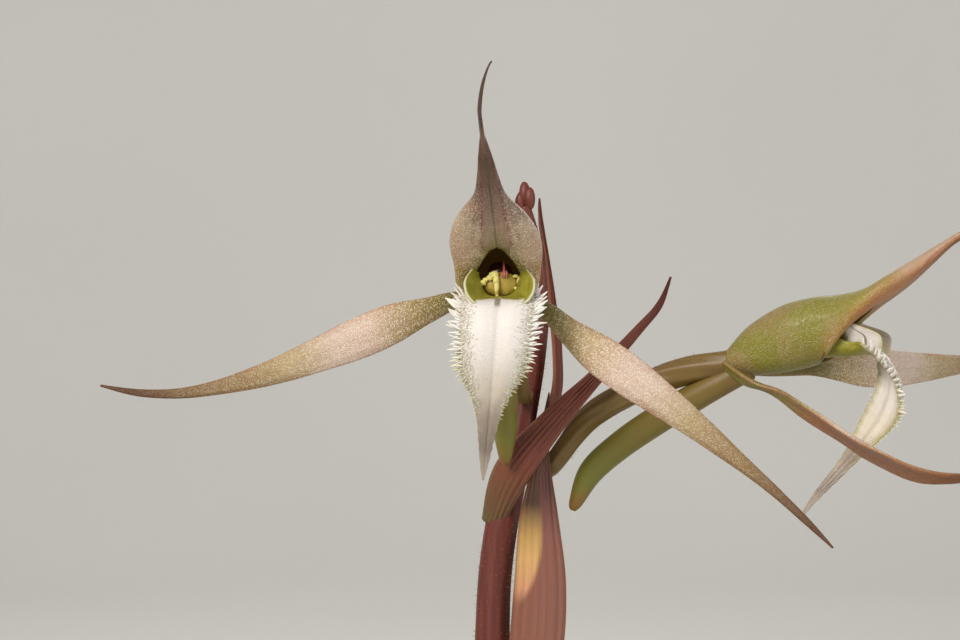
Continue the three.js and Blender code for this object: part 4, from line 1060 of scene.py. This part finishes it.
# Leaves
def leaf_piece(number, degrees, wide, twist, petiole, blade):
    """A leaf: its blade, folded along a keel, and the channelled petiole under it."""
    out, aside = bearing(degrees), bearing(degrees + 90)
    rib = [[*(out * reach)[:2], height] for reach, height in blade]

    def surface(t, v):
        at = glide(rib, t)
        along = course(rib, t, 0.01)
        turn = np.radians(twist * t)[..., None]
        side = aside * np.cos(turn) + np.cross(along, aside) * np.sin(turn)
        side = side + along * (along @ aside)[..., None] * (1 - np.cos(turn))
        up = np.cross(along, side)
        half = wide * glide(LEAF_SHAPE, t)
        arch = np.sin(np.pi * t)
        wave = 1.1 * np.sin(17 * t + 2 * np.sign(v)) * v * v * arch
        ripple = 0.35 * np.sin(43 * t + 3 * v) * v**4 * arch
        veins = sum(ridge(np.abs(v), k / 4, 0.035) for k in (1, 2, 3))
        relief = -0.3 * veins * arch - 0.7 * ridge(v * half, 0, 1.3) * (1 - t) ** 0.5
        fold = half * (0.42 * np.abs(v) - 0.2 * v * v) + wave + ripple + relief
        return at + side * (half * v * 0.95)[..., None] + up * fold[..., None]

    def thickness(t, v):
        half = wide * glide(LEAF_SHAPE, t)
        keel = 1.3 * ridge(v * half, 0, 1.2) * (1 - t)
        return (0.62 + keel) * (1 - 0.6 * smooth(np.abs(v), 0.8, 1))

    made = Growth().add(sheet(surface, thickness, 150, 56), stalk=0.0)
    line = [[PETIOLE_CIRCLE, CROWN_TOP + GAP], [PETIOLE_CIRCLE, 98], *petiole]
    radii = np.linspace(PETIOLE_RADIUS, PETIOLE_NECK, len(line))
    rows = [[*(out * reach)[:2], height, radius] for (reach, height), radius in zip(line, radii)]
    for k, (reach, height) in enumerate(blade[1:3]):
        rows.append([*(out * reach)[:2], height - 1.1 + 0.5 * k, 1.25 - 0.65 * k])

    def channelled(t, turn):
        """A groove along the side that faces the scape, and low ridges round the rest."""
        return 1 + 0.03 * np.cos(7 * turn) - 0.22 * ridge(np.angle(np.exp(1j * (turn - math.pi))), 0, 0.5)

    made.add(tube(rows, 130, 32, channelled), stalk=1.0)
    piece(f"glossy_leaf_{number}", [made.mesh("leaf", "leaf_blade")], "leaf", f"leaf_{number}")


# Scape, sheaths and bracts
def sheath(base, length, side):
    """A leafy sheath that wraps the scape and comes to a point on one side."""

    def surface(t, v):
        turn = side + 176 * v
        reach = (0.5 + 0.5 * np.cos(np.radians(turn - side))) ** 2
        centre, radius = scape_at(base + t * length * (0.5 + 0.5 * reach))
        width = radius + 0.3 + 0.5 * np.sin(np.pi * t) + 0.2 * t + 0.5 * t**3 * reach
        width = width + 0.05 * np.cos(9 * np.pi * v) + 0.12 * v * t
        return centre + bearing(turn) * width[..., None]

    return sheet(surface, lambda t, v: 0.34 - 0.2 * smooth(np.maximum(t, np.abs(v)), 0.85, 1), 40, 48)


def bract(node, degrees, side, line, width):
    """A bract beside what grows from a node, along a line and as wide as width says down it."""
    out, aside = bearing(degrees), bearing(degrees + 90) * side
    rows = []
    for reach, offset, rise in line:
        centre, _ = scape_at(node + min(rise, 0))
        spot = centre + out * reach + aside * offset
        rows.append([spot[0], spot[1], node + rise])

    def surface(t, v):
        at = glide(rows, t)
        across = unit(np.cross(course(rows, t), aside))
        half = glide(width, t) / 2
        relief = 0.05 * np.cos(7 * np.pi * v) * np.sin(np.pi * t) + 0.12 * np.sin(13 * t + v) * v * v
        bow = -0.42 * half * v * v + relief
        return at + across * (half * v)[..., None] + aside * bow[..., None]

    def thickness(t, v):
        return np.minimum(0.5, 0.8 * glide(width, t)) * (1 - 0.65 * smooth(np.abs(v), 0.6, 1))

    return sheet(surface, thickness, 90, 20)


def ridged(t, turn):
    """The scape's shallow ribs, and a slight swelling at each joint."""
    return 1 + 0.025 * np.cos(8 * turn + 3 * t) + 0.02 * np.sin(40 * t)


def scape_piece():
    """The scape with its sheaths, its bracts and the young bud cluster at its tip."""
    made = Growth().add(tube(SCAPE_LINE, 300, 40, ridged), 0)
    for base, length, side in SHEATHS:
        made.add(sheath(base, length, side), 1)
    for flower in FLOWERS:
        side, line = flower["bract"]
        made.add(bract(flower["node"], flower["bearing"], side, line, BRACT_WIDTH), 1)
    made.add(bract(CAPSULE_NODE, CAPSULE_BEARING, -1, UPRIGHT_BRACT, UPRIGHT_WIDTH), 1, pink=1.0)
    x, y, z, radius = SCAPE_LINE[-1]
    for k, (aside, high) in enumerate(((0.5, 0.9), (-0.45, 0.5), (0.0, 1.5))):
        made.add(blob((x + aside, y - aside / 2, z + high), (radius, radius, 1.3), 8, 14, 0.05, k), 0)
    piece("downy_scape", [made.mesh("scape", "scape_skin", "bract_tissue")], "scape", "scape")


# Flowers
def flower_frame(flower):
    """Carries points from a flower's own axes to the plant's and back, and directions to the
    plant's."""
    centre, _ = scape_at(flower["node"])
    mouth = centre + bearing(flower["bearing"]) * flower["reach"] + [0, 0, flower["rise"]]
    axes = np.array([bearing(flower["facing"] + 90), [0, 0, 1], bearing(flower["facing"])])
    return lambda p: mouth + p @ axes, lambda p: (p - mouth) @ axes.T, lambda p: p @ axes


def lean_at(sway, y):
    """How far a hood that leans by sway stands aside at a height."""
    return sway * (0.14 + 0.98 * np.clip((y - 2) / 14, 0, 1) ** 1.15)


def hood(sway):
    """The hood, open in front below its arch. Marks: edge, how far in from its front edges a point
    lies, and band, which is 1 on the two front veins."""

    def surface(t, v):
        share = np.abs(v)
        p = bezier(glide(HOOD, t), share)
        p[..., 0] = np.maximum(p[..., 0], 0) * np.sign(v)
        row = t * HOOD_ROWS
        p[..., 1] += 0.32 * ridge(row, 7.5, 0.36) * smooth(share, 0.75, 1)
        inward = unit(p.mean(axis=1, keepdims=True) - p)
        upper = smooth(row, 7.6, 8.8)
        seam = 0.09 * upper + 0.25 * ridge(row, 8.1, 0.4) + 0.16 * smooth(row, 3.8, 3.0)
        dip = seam * smooth(share, 0.93, 1.0) + 0.08 * upper * ridge(share, 0.83, 0.03)
        dip = dip + 0.08 * ridge(share, 0.46, 0.02) * smooth(row, 1, 3)
        p += inward * (dip * np.minimum(1, 1.4 - 0.09 * row))[..., None]
        p[..., 0] += lean_at(sway, p[..., 1])
        return p

    def thickness(t, v):
        slim = np.interp(t * HOOD_ROWS, [0, 9, 11, 13], [0.5, 0.5, 0.34, 0.16])
        return slim * (1 - 0.55 * smooth(np.abs(v), 0.94, 1))

    rows, columns = 130, 96
    shell = sheet(surface, thickness, rows, columns, bias=1.0)
    size = (rows + 1) * (columns + 1)
    grid = shell[0][:size].reshape(rows + 1, columns + 1, 3)
    steps = np.linalg.norm(np.diff(grid, axis=1), axis=2)
    out = np.concatenate([np.zeros((rows + 1, 1)), np.cumsum(steps, axis=1)], axis=1)
    edge = np.minimum(out, out[:, -1:] - out)
    # The band between the two front veins narrows as the hood does
    row = np.linspace(0, HOOD_ROWS, rows + 1)[:, None]
    band = edge / np.interp(row, [5, 7, 7.5, 8, 9, 10, 11, 13], [0.02, 0.1, 0.9, 1.65, 1.4, 1.15, 0.8, 0.3])
    shell[2].update(edge=np.tile(edge.ravel(), 2), band=np.tile(band.ravel(), 2))
    return shell


def tail(sway):
    """The hood's tail, a ribbon on edge that thins to a thread."""

    def surface(t, v):
        at, along = glide(TAIL, t), course(TAIL, t)
        wide = np.stack([-along[..., 1], along[..., 0]], -1) * (glide(TAIL_WIDTH, t) * v / 2)[..., None]
        lean = lean_at(sway, at[..., 0]) + 1.2 * np.clip((t - 0.2) / 0.8, 0, 1) ** 3
        return np.concatenate([(lean + 0.1 * v * np.sin(3 * t))[..., None], at + wide], -1)

    def thickness(t, v):
        return (0.55 - 0.4 * t) * (1 - 0.6 * v * v)

    points, faces, marks = sheet(surface, thickness, 40, 8)
    far = np.full(len(points), 9.0)
    return points, faces, {"along": 0.9 + 0.1 * marks["along"], "edge": far, "band": far}


def side_sepal(side, knee, droop, forward, roll):
    """A side sepal, bound to the hood as far as its knee and free from there on."""
    mirror = np.array([side, 1, 1])
    root, at = mirror * [1.2, -3.2, -12.6], mirror * knee
    rows = [root, (root + at) / 2 + mirror * [0.5, -0.2, -0.3], at]
    steps = 10
    middles = (np.arange(steps) + 0.5) / steps
    for down, ahead in np.radians([glide(droop, middles), glide(forward, middles)]).T:
        stride = [math.cos(down) * math.cos(ahead), -math.sin(down) * math.cos(ahead), math.sin(ahead)]
        at = at + mirror * stride * SEPAL_LENGTH / steps
        rows.append(at)
    bound = 2 / (len(rows) - 1)
    front = np.array([0.0, 0.0, 1.0])

    def surface(t, v):
        middle = glide(rows, t)
        along = course(rows, t)
        face = unit(front - along * (along @ front)[..., None])
        free = np.maximum(t - bound, 0) / (1 - bound)
        edgewise = np.radians(roll) * smooth(free, 0, 0.3)[..., None]
        face = face * np.cos(edgewise) + np.cross(along, face) * np.sin(edgewise)
        across = np.cross(face, along)
        half = glide(SEPAL_WIDTH, free) / 2
        bow = 0.24 * half * (1 - v * v) - 0.05 * half * ridge(v, 0.42, 0.2) * smooth(free, 0.6, 0.1)
        bow = bow + 0.03 * np.sin(31 * t + 4 * v) * v * v * half
        return middle + across * (half * v)[..., None] + face * bow[..., None]

    def thickness(t, v):
        free = np.maximum(t - bound, 0) / (1 - bound)
        thick = np.minimum(0.6, 0.62 * glide(SEPAL_WIDTH, free))
        return thick * (1 - 0.5 * smooth(np.abs(v), 0.55, 1))

    shell = sheet(surface, thickness, 120, 22)
    shell[2]["free"] = np.maximum(shell[2]["along"] - bound, 0) / (1 - bound)
    return shell


def ovary_and_spur(flower, to_own):
    """The ovary, which carries the flower from its node, and the spur behind it."""
    centre, radius = scape_at(flower["node"])
    foot = to_own(centre + bearing(flower["bearing"]) * (radius + 1.5 * GAP))

    def row(y, z, width):
        share = (z + 12) / (foot[2] + 12)
        return [foot[0] * share * share, y, z, width]

    ovary = [
        [*foot, 0.9], row(foot[1] + 0.8, foot[2] + 2.4, 1.1), row(-9.0, -28.3, 1.35),
        row(-5.5, -22, 1.45), row(-3.6, -16.5, 1.5), [0, -2.7, -11.5, 1.4],
    ]
    spur = [
        [0, -3.4, -10, 1.3], [0.1, -6.0, -15, 1.5], [0.4, -9.2, -20.5, 1.6], [0.7, -12.2, -25, 1.55],
        [0.9, -15.2, -28.4, 1.4], [1, -18.6, -30.2, 0.8], [1, -19.6, -30.6, 0.35],
    ]
    spur = np.array(spur) * [flower["swing"], 1, 1, 1]

    def ribs(t, turn):
        """Six ribs that turn half round, as the ovary twists to bring the lip to the front."""
        return 1 + 0.07 * np.cos(6 * (turn - math.pi * t)) * np.sin(np.pi * t) ** 0.5

    return tube(ovary, 90, 36, ribs), tube(spur, 70, 28, lambda t, turn: 1 + 0.03 * np.cos(2 * turn))


def twisted(p, t, turn, depth=0.0):
    """Turns points or directions of the lip about its midline, more the lower they are."""
    angle = np.radians(turn * smooth(t * LIP_ROWS, 3.6, 11))
    x, z = p[..., 0], p[..., 2] - depth
    across, ahead = x * np.cos(angle) + z * np.sin(angle), z * np.cos(angle) - x * np.sin(angle)
    return np.stack([across, p[..., 1], ahead + depth], -1)


def lip_point(t, v, turn, relief):
    """Points of the lip's middle face, raised by relief, twisted and swayed."""
    p = bezier(glide(LIP, t), np.abs(v))
    p[..., 0] *= np.sign(v)
    p[..., 2] += relief
    p = twisted(p, t, turn, glide([row[0][2] for row in LIP], t))
    p[..., 0] += np.interp(p[..., 1], [LIP_TIP, 0], LIP_SWAY)
    return p


def lip_blade(turn):
    """The lip from its channel to its tail. Mark: green, on the channel and the wings beside it."""

    def surface(t, v):
        white = smooth(t * LIP_ROWS, 3.9, 5) * smooth(t, 1, 0.85)
        furrow = -0.08 * ridge(v, 0, 0.08) + 0.08 * ridge(np.abs(v), 0.3, 0.12)
        comb = 0.07 * np.sin(180 * t + 7 * np.abs(v)) * smooth(np.abs(v), 0.4, 0.9)
        return lip_point(t, v, turn, white * (furrow + comb))

    def thickness(t, v):
        thick = np.interp(t * LIP_ROWS, [0, 5, 9, 13], [0.42, 0.56, 0.45, 0.2])
        return thick * (1 - 0.5 * smooth(np.abs(v), 0.75, 1))

    shell = sheet(surface, thickness, 150, 44)
    row, side = shell[2]["along"] * LIP_ROWS, np.abs(shell[2]["across"])
    wing = 4.05 + 0.62 * ridge(side, 0.52, 0.27)
    shell[2]["green"] = smooth(row, wing + 0.12, wing - 0.12)
    return shell


def collar(young):
    """The ring round the column, open above: a thread below it and a flared wing each side, green
    inside once its flower is old enough."""

    def surface(t, v):
        inner, outer, depth = np.moveaxis(glide(COLLAR, np.abs(2 * t - 1)), -1, 0)
        turn = np.radians(-90 + COLLAR_ARC * (2 * t - 1))
        share = (v + 1) / 2
        radius = inner + (outer - inner) * share
        z = 0.9 + (depth - 0.9) * share ** 0.8
        return np.stack([radius * np.cos(turn) - 0.1, radius * np.sin(turn) + 0.08, z], -1)

    shell = sheet(surface, lambda t, v: 0.3 - 0.12 * v, 90, 16)
    shell[2].update(rim=smooth(shell[2]["across"], 0.84, 0.97), green=shell[2]["back"] * (1 - 0.8 * young))
    return shell


def fringe_host(place, aim_of, turn, inset, share):
    """A line along each edge of a lip, or set in from it, with where its teeth point, how long
    they are and how pale."""
    steps = 60
    row = np.tile(np.linspace(TEETH_ROWS[0] + 2.2 * inset, TEETH_ROWS[1], steps), 2)
    side = np.repeat([-1.0, 1.0], steps)
    down = (row - TEETH_ROWS[0]) / (TEETH_ROWS[1] - TEETH_ROWS[0])
    rise = np.radians(glide(TEETH_RISE, down))
    t = row / LIP_ROWS
    own = lip_point(t, side * (1 - inset), turn, 0.1)
    aim = np.stack([side * np.cos(rise), np.sin(rise), np.full_like(t, 0.15 + 0.8 * inset)], -1)
    made = bpy.data.meshes.new("fringe_line")
    edges = [(k, k + 1) for k in range(len(row) - 1) if k != steps - 1]
    made.from_pydata((place(own) * MM).tolist(), edges, [])
    marked(made, "aim", aim_of(twisted(aim, t, turn)))
    marked(made, "reach", glide(TEETH_LENGTH, down) * share)
    marked(made, "pale", np.clip(2.6 * inset + 0.85 * smooth(down, 0.72, 0.4), 0, 1))
    return made


def column(growth, place):
    """A flower's column with its anther and beaks, and the pollen masses on its front."""
    body = [[0, -0.6, -7.8, 0.9], [0, -0.3, -5, 1], [0, 0.1, -2, 1.3], [0, 0.2, 0, 1.4], [0, 0.2, 0.6, 1.1]]
    growth.add(tube(body, 30, 24), 0, place)
    growth.add(blob((0.05, 0.06, 0.55), (1.85, 1.25, 0.65), 16, 32, 0.025), 0, place)
    # The anther's back: maroon, darkened as painted shade of the hood's inside.
    growth.add(blob((0, 1.25, -0.5), (1.35, 1.0, 1.1), 12, 20, 0.05, 2.0), 0, place, red=1.0)
    for aside, high in ((0.34, 2.6), (0.58, 1.9), (0.14, 1.7)):
        beak = [[aside - 0.05, high, -0.25, 0.06], [aside, high - 0.5, 0.6, 0.11]]
        beak += [[aside + 0.04, 1.2, 1.15, 0.12], [aside + 0.03, 0.7, 1.3, 0.05]]
        growth.add(tube(beak, 12, 8), 0, place, red=0.5)
    masses = [
        ((-0.66, 1.0, 1.2), (0.5, 0.44, 0.38)), ((-1.05, 0.7, 1.15), (0.42, 0.32, 0.32)),
        ((-0.42, 0.45, 1.45), (0.36, 0.56, 0.3)), ((-0.35, -0.2, 1.5), (0.27, 0.75, 0.24)),
        ((-0.33, -0.85, 1.35), (0.16, 0.45, 0.2)), ((-1.75, 0.2, 1.15), (0.32, 0.3, 0.28)),
        ((-1.5, 0.5, 1.15), (0.26, 0.24, 0.22)), ((1.82, 0.25, 1.15), (0.2, 0.62, 0.2)),
        ((1.52, 0.84, 1.15), (0.36, 0.17, 0.22)), ((1.62, -0.34, 1.15), (0.3, 0.16, 0.2)),
    ]
    for k, (centre, radii) in enumerate(masses):
        growth.add(blob(centre, radii, 8, 12, 0.09, k), 1, place)


def flower_pieces(number, flower):
    """A flower's three pieces: its hood and sepals, its fringed lip and its column."""
    place, to_own, aim_of = flower_frame(flower)
    name = f"flower_{number}"
    ovary, spur = ovary_and_spur(flower, to_own)
    made = Growth()
    for part in (hood(flower["sway"]), tail(flower["sway"])):
        made.add(part, 0, place, young=flower["young"])
    made.add(side_sepal(-1, *flower["left"]), 1, place).add(side_sepal(1, *flower["right"]), 1, place)
    made.add(ovary, 2, place, along=0.0).add(spur, 2, place)
    whole = made.mesh(name, "hood_tissue", "sepal_tissue", "ovary_skin")
    piece(f"{name}_hood_and_sepals", [whole], "perianth", f"{name}_perianth")

    turn = flower["turn"]
    blade = Growth().add(lip_blade(turn), 0, place).add(collar(flower["young"]), 0, place)
    meshes = [blade.mesh(name, "lip_tissue")]
    for inset, teeth, share in FRINGE_ROWS:
        host = fringe_host(place, aim_of, turn, inset, share)
        meshes.append(grown(
            "fringed", host, TEETH, "fringe_tissue", Teeth=teeth, Lean=0.2, Shortest=0.68,
            Longest=1.08, Seed=teeth + 10 * number,
        ))
    meshes.append(papillae(place, aim_of, number, turn))
    piece(f"{name}_fringed_lip", meshes, "lip", f"{name}_lip")

    heart = Growth()
    column(heart, place)
    whole = heart.mesh(name, "column_tissue", "pollen")
    piece(f"{name}_column_and_pollinia", [whole], "column", f"{name}_column")


def papillae(place, aim_of, number, turn):
    """The short swollen cells that frost the lip, combed outward near its edge."""
    own, faces, marks = lip_blade(turn)
    row, side = marks["along"] * LIP_ROWS, np.abs(marks["across"])
    room = smooth(row, 4.3, 5) * smooth(row, 10.5, 8) * smooth(side, 0.35, 0.85) * (1 - marks["back"])
    host = Growth().add((own, faces, {}), 0, place, room=room, pale=1 - 0.6 * side).mesh("papillae_host")
    out = np.column_stack([np.sign(marks["across"]), -0.2 * np.ones(len(own)), np.zeros(len(own))])
    marked(host, "aim", aim_of(twisted(out, marks["along"], turn)))
    return grown(
        "strewn", host, PIMPLES, "fringe_tissue", Density=6.5e7, Spacing=0.00011, Smallest=0.4,
        Largest=0.9, Lean=0.2, Comb=1.2, Seed=number,
    )


# Each kind of tooth has a radius at its foot and a bend
TOOTH_SHAPES = ((0.22, -0.2), (0.17, 0.1), (0.2, 0.24), (0.24, 0.03))
TEETH = kinds_of("tooth", [spike(1.0, foot, 0.03, 6, bend, 5) for foot, bend in TOOTH_SHAPES])
PIMPLES = kinds_of("pimple", [spike(0.36, 0.19, 0.1, 5, 0.1, 2)])


# Buds and capsule
def beside(node, degrees, reach, rise, width, aside=0.0):
    """A tube's row that lies reach out from the scape's skin, rise above its node and aside."""
    centre, radius = scape_at(node)
    at = centre + bearing(degrees) * (radius + reach) + bearing(degrees + 90) * aside
    return [at[0], at[1], at[2] + rise, width]


def bud_piece(number, node, degrees, length):
    """A bud, its three sepals folded shut. shape is its reach, rise and radius by its length."""
    shape = ((0, 0, 0.05), (0.12, 0.06, 0.07), (0.26, 0.34, 0.1), (0.34, 0.64, 0.12), (0.42, 1, 0.03))
    rows = [
        beside(node, degrees, 1.4 * GAP + reach * length, rise * length, width * length)
        for reach, rise, width in shape
    ]

    def folded(t, turn):
        return 1 - 0.09 * np.abs(np.cos(1.5 * turn)) ** 6 * smooth(t, 0.2, 0.5)

    made = Growth().add(tube(rows, 60, 36, folded))
    piece(f"folded_bud_{number}", [made.mesh("bud", "bud_tissue")], "bud", f"bud_{number}")


def capsule_piece():
    """The ripening capsule with the curled, dried flower at its end."""
    row = functools.partial(beside, CAPSULE_NODE, CAPSULE_BEARING)
    fruit = [
        row(GAP + 0.2, 0, 0.7), row(2.2, 1.0, 0.8), row(3.9, 6, 1.7), row(4.3, 12, 1.9),
        row(4.0, 17, 1.3), row(4.0, 20, 0.9),
    ]
    curled = [
        row(4.0, 19.6, 0.9), row(4.2, 22, 0.9, 1.2), row(4.3, 22.2, 0.8, 3.4), row(4.3, 18.4, 0.4, 4.4),
    ]

    def ribs(t, turn):
        return 1 + 0.09 * np.cos(6 * turn) * smooth(t, 0.15, 0.4)

    def creased(t, turn):
        return 1 + 0.12 * np.sin(5 * turn + 9 * t) + 0.08 * np.sin(31 * t)

    made = Growth().add(tube(fruit, 70, 48, ribs), dry=0.0).add(tube(curled, 50, 24, creased), dry=1.0)
    piece("ribbed_capsule", [made.mesh("capsule", "capsule_skin")], "capsule", "capsule")


def down_piece():
    """Down on the upper scape and the ovaries."""
    shell = tube(SCAPE_LINE, 300, 24)
    host = Growth().add(shell, room=smooth(shell[0][:, 2], 300, 370))
    for flower in FLOWERS:
        place, to_own, _ = flower_frame(flower)
        host.add(ovary_and_spur(flower, to_own)[0], 0, place, room=0.5)
    hairs = kinds_of("hair", [spike(0.36, 0.06, 0.03, 3, 0.15, 3)])
    down = grown(
        "strewn", host.mesh("down_host"), hairs, "down_hair", Density=2.6e6, Spacing=0.00045,
        Smallest=0.6, Largest=1.25, Lean=0.45, Seed=6,
    )
    piece("scape_down", [down], "scape")


# Studio
def studio():
    """A plain pale floor that sweeps up into a round wall, soft lights, and the photo's camera."""
    flat, sweep, high, sides = 4.0, 1.6, 5.0, 96
    wall = flat + sweep
    arc = np.linspace(0, math.pi / 2, 12)
    profile = [(0.01, 0.0), *[(r, 0.0) for r in np.linspace(0.5, 3.5, 7)]]
    profile += [(flat + sweep * math.sin(a), sweep - sweep * math.cos(a)) for a in arc]
    profile += [(wall, 2 * sweep), (wall, high)]
    turn = np.arange(sides) * 2 * math.pi / sides
    points = [(r * math.cos(a), r * math.sin(a), h) for r, h in profile for a in turn]
    faces = [*walled(len(profile), sides)[0].tolist(), list(range(sides))]
    mesh = bpy.data.meshes.new("floor")
    mesh.from_pydata(points, [], faces)
    mesh.polygons.foreach_set("use_smooth", [True] * len(faces))

    def painted(n, place):
        """Matt painted board, pale warm grey."""
        board = n("ValToRGB", [n("TexNoise", [place, 0.6, 2.0])], [(0.3, "#cfcdc8"), (0.7, "#d5d3ce")])
        return {"Base Color": board, "Roughness": 0.9, "Specular IOR Level": 0.1}

    mesh.materials.append(material("painted_board", painted))
    floor = linked("pale_floor", mesh)

    bpy.context.scene.view_settings.view_transform = "Standard"
    world = bpy.data.worlds.new("soft_sky")
    world.use_nodes = True
    sky = world.node_tree.nodes["Background"]
    sky.inputs["Color"].default_value = linear("#e9ecf0")
    sky.inputs["Strength"].default_value = 0.45
    bpy.context.scene.world = world

    # Each lamp's place in metres, its width, its power in watts and its colour
    lamps = (
        ("key", (-0.75, -1.15, 1.25), 0.7, 22.5, "#fff9f3"),
        ("fill", (1.25, -0.9, 0.55), 1.1, 8.0, "#eef3ff"),
        ("back", (0.55, 1.25, 1.05), 0.9, 5.5, "#fff8ee"),
        ("far_wall", (0.0, 2.4, 2.6), 2.5, 60.0, "#f6f5f2"),
        ("right_wall", (2.1, -1.2, 2.6), 2.5, 45.0, "#f6f5f2"),
        ("left_wall", (-2.1, -1.2, 2.6), 2.5, 45.0, "#f6f5f2"),
    )
    # Lamps aim at the flowers, and the wall's own lamps at the wall beyond them
    flowers, beyond = (0.015, -0.01, 0.4), 2.3
    for name, spot, size, power, colour in lamps:
        light = bpy.data.lights.new(name, "AREA")
        light.shape, light.size, light.energy = "DISK", size, power
        light.color = linear(colour)[:3]
        lamp = linked(name, light)
        lamp.location = spot
        wall_spot = (spot[0] * beyond, spot[1] * beyond, 1.0)
        aim = wall_spot if name.endswith("wall") else flowers
        lamp.rotation_euler = (Vector(aim) - Vector(spot)).to_track_quat("-Z", "Y").to_euler()
        lamp.visible_camera = False

    lens = bpy.data.cameras.new("close_up")
    lens.lens, lens.sensor_width = 100, 36
    lens.clip_start, lens.clip_end = 0.01, 50
    camera = linked("close_up", lens)
    camera.location = Vector(CAMERA_AT) * MM
    camera.rotation_euler = (math.radians(90), 0, 0)
    bpy.context.scene.camera = camera


# The photograph looks level along +Y at the top flower
CAMERA_AT = (15.1, -303.0, 428.1)

pot()
mix()
rootstock()
for number, leaf in enumerate(LEAVES, 1):
    leaf_piece(number, *leaf)
scape_piece()
for number, bud in enumerate(BUDS, 1):
    bud_piece(number, *bud)
capsule_piece()
for number, flower in enumerate(FLOWERS, 1):
    flower_pieces(number, flower)
down_piece()
studio()
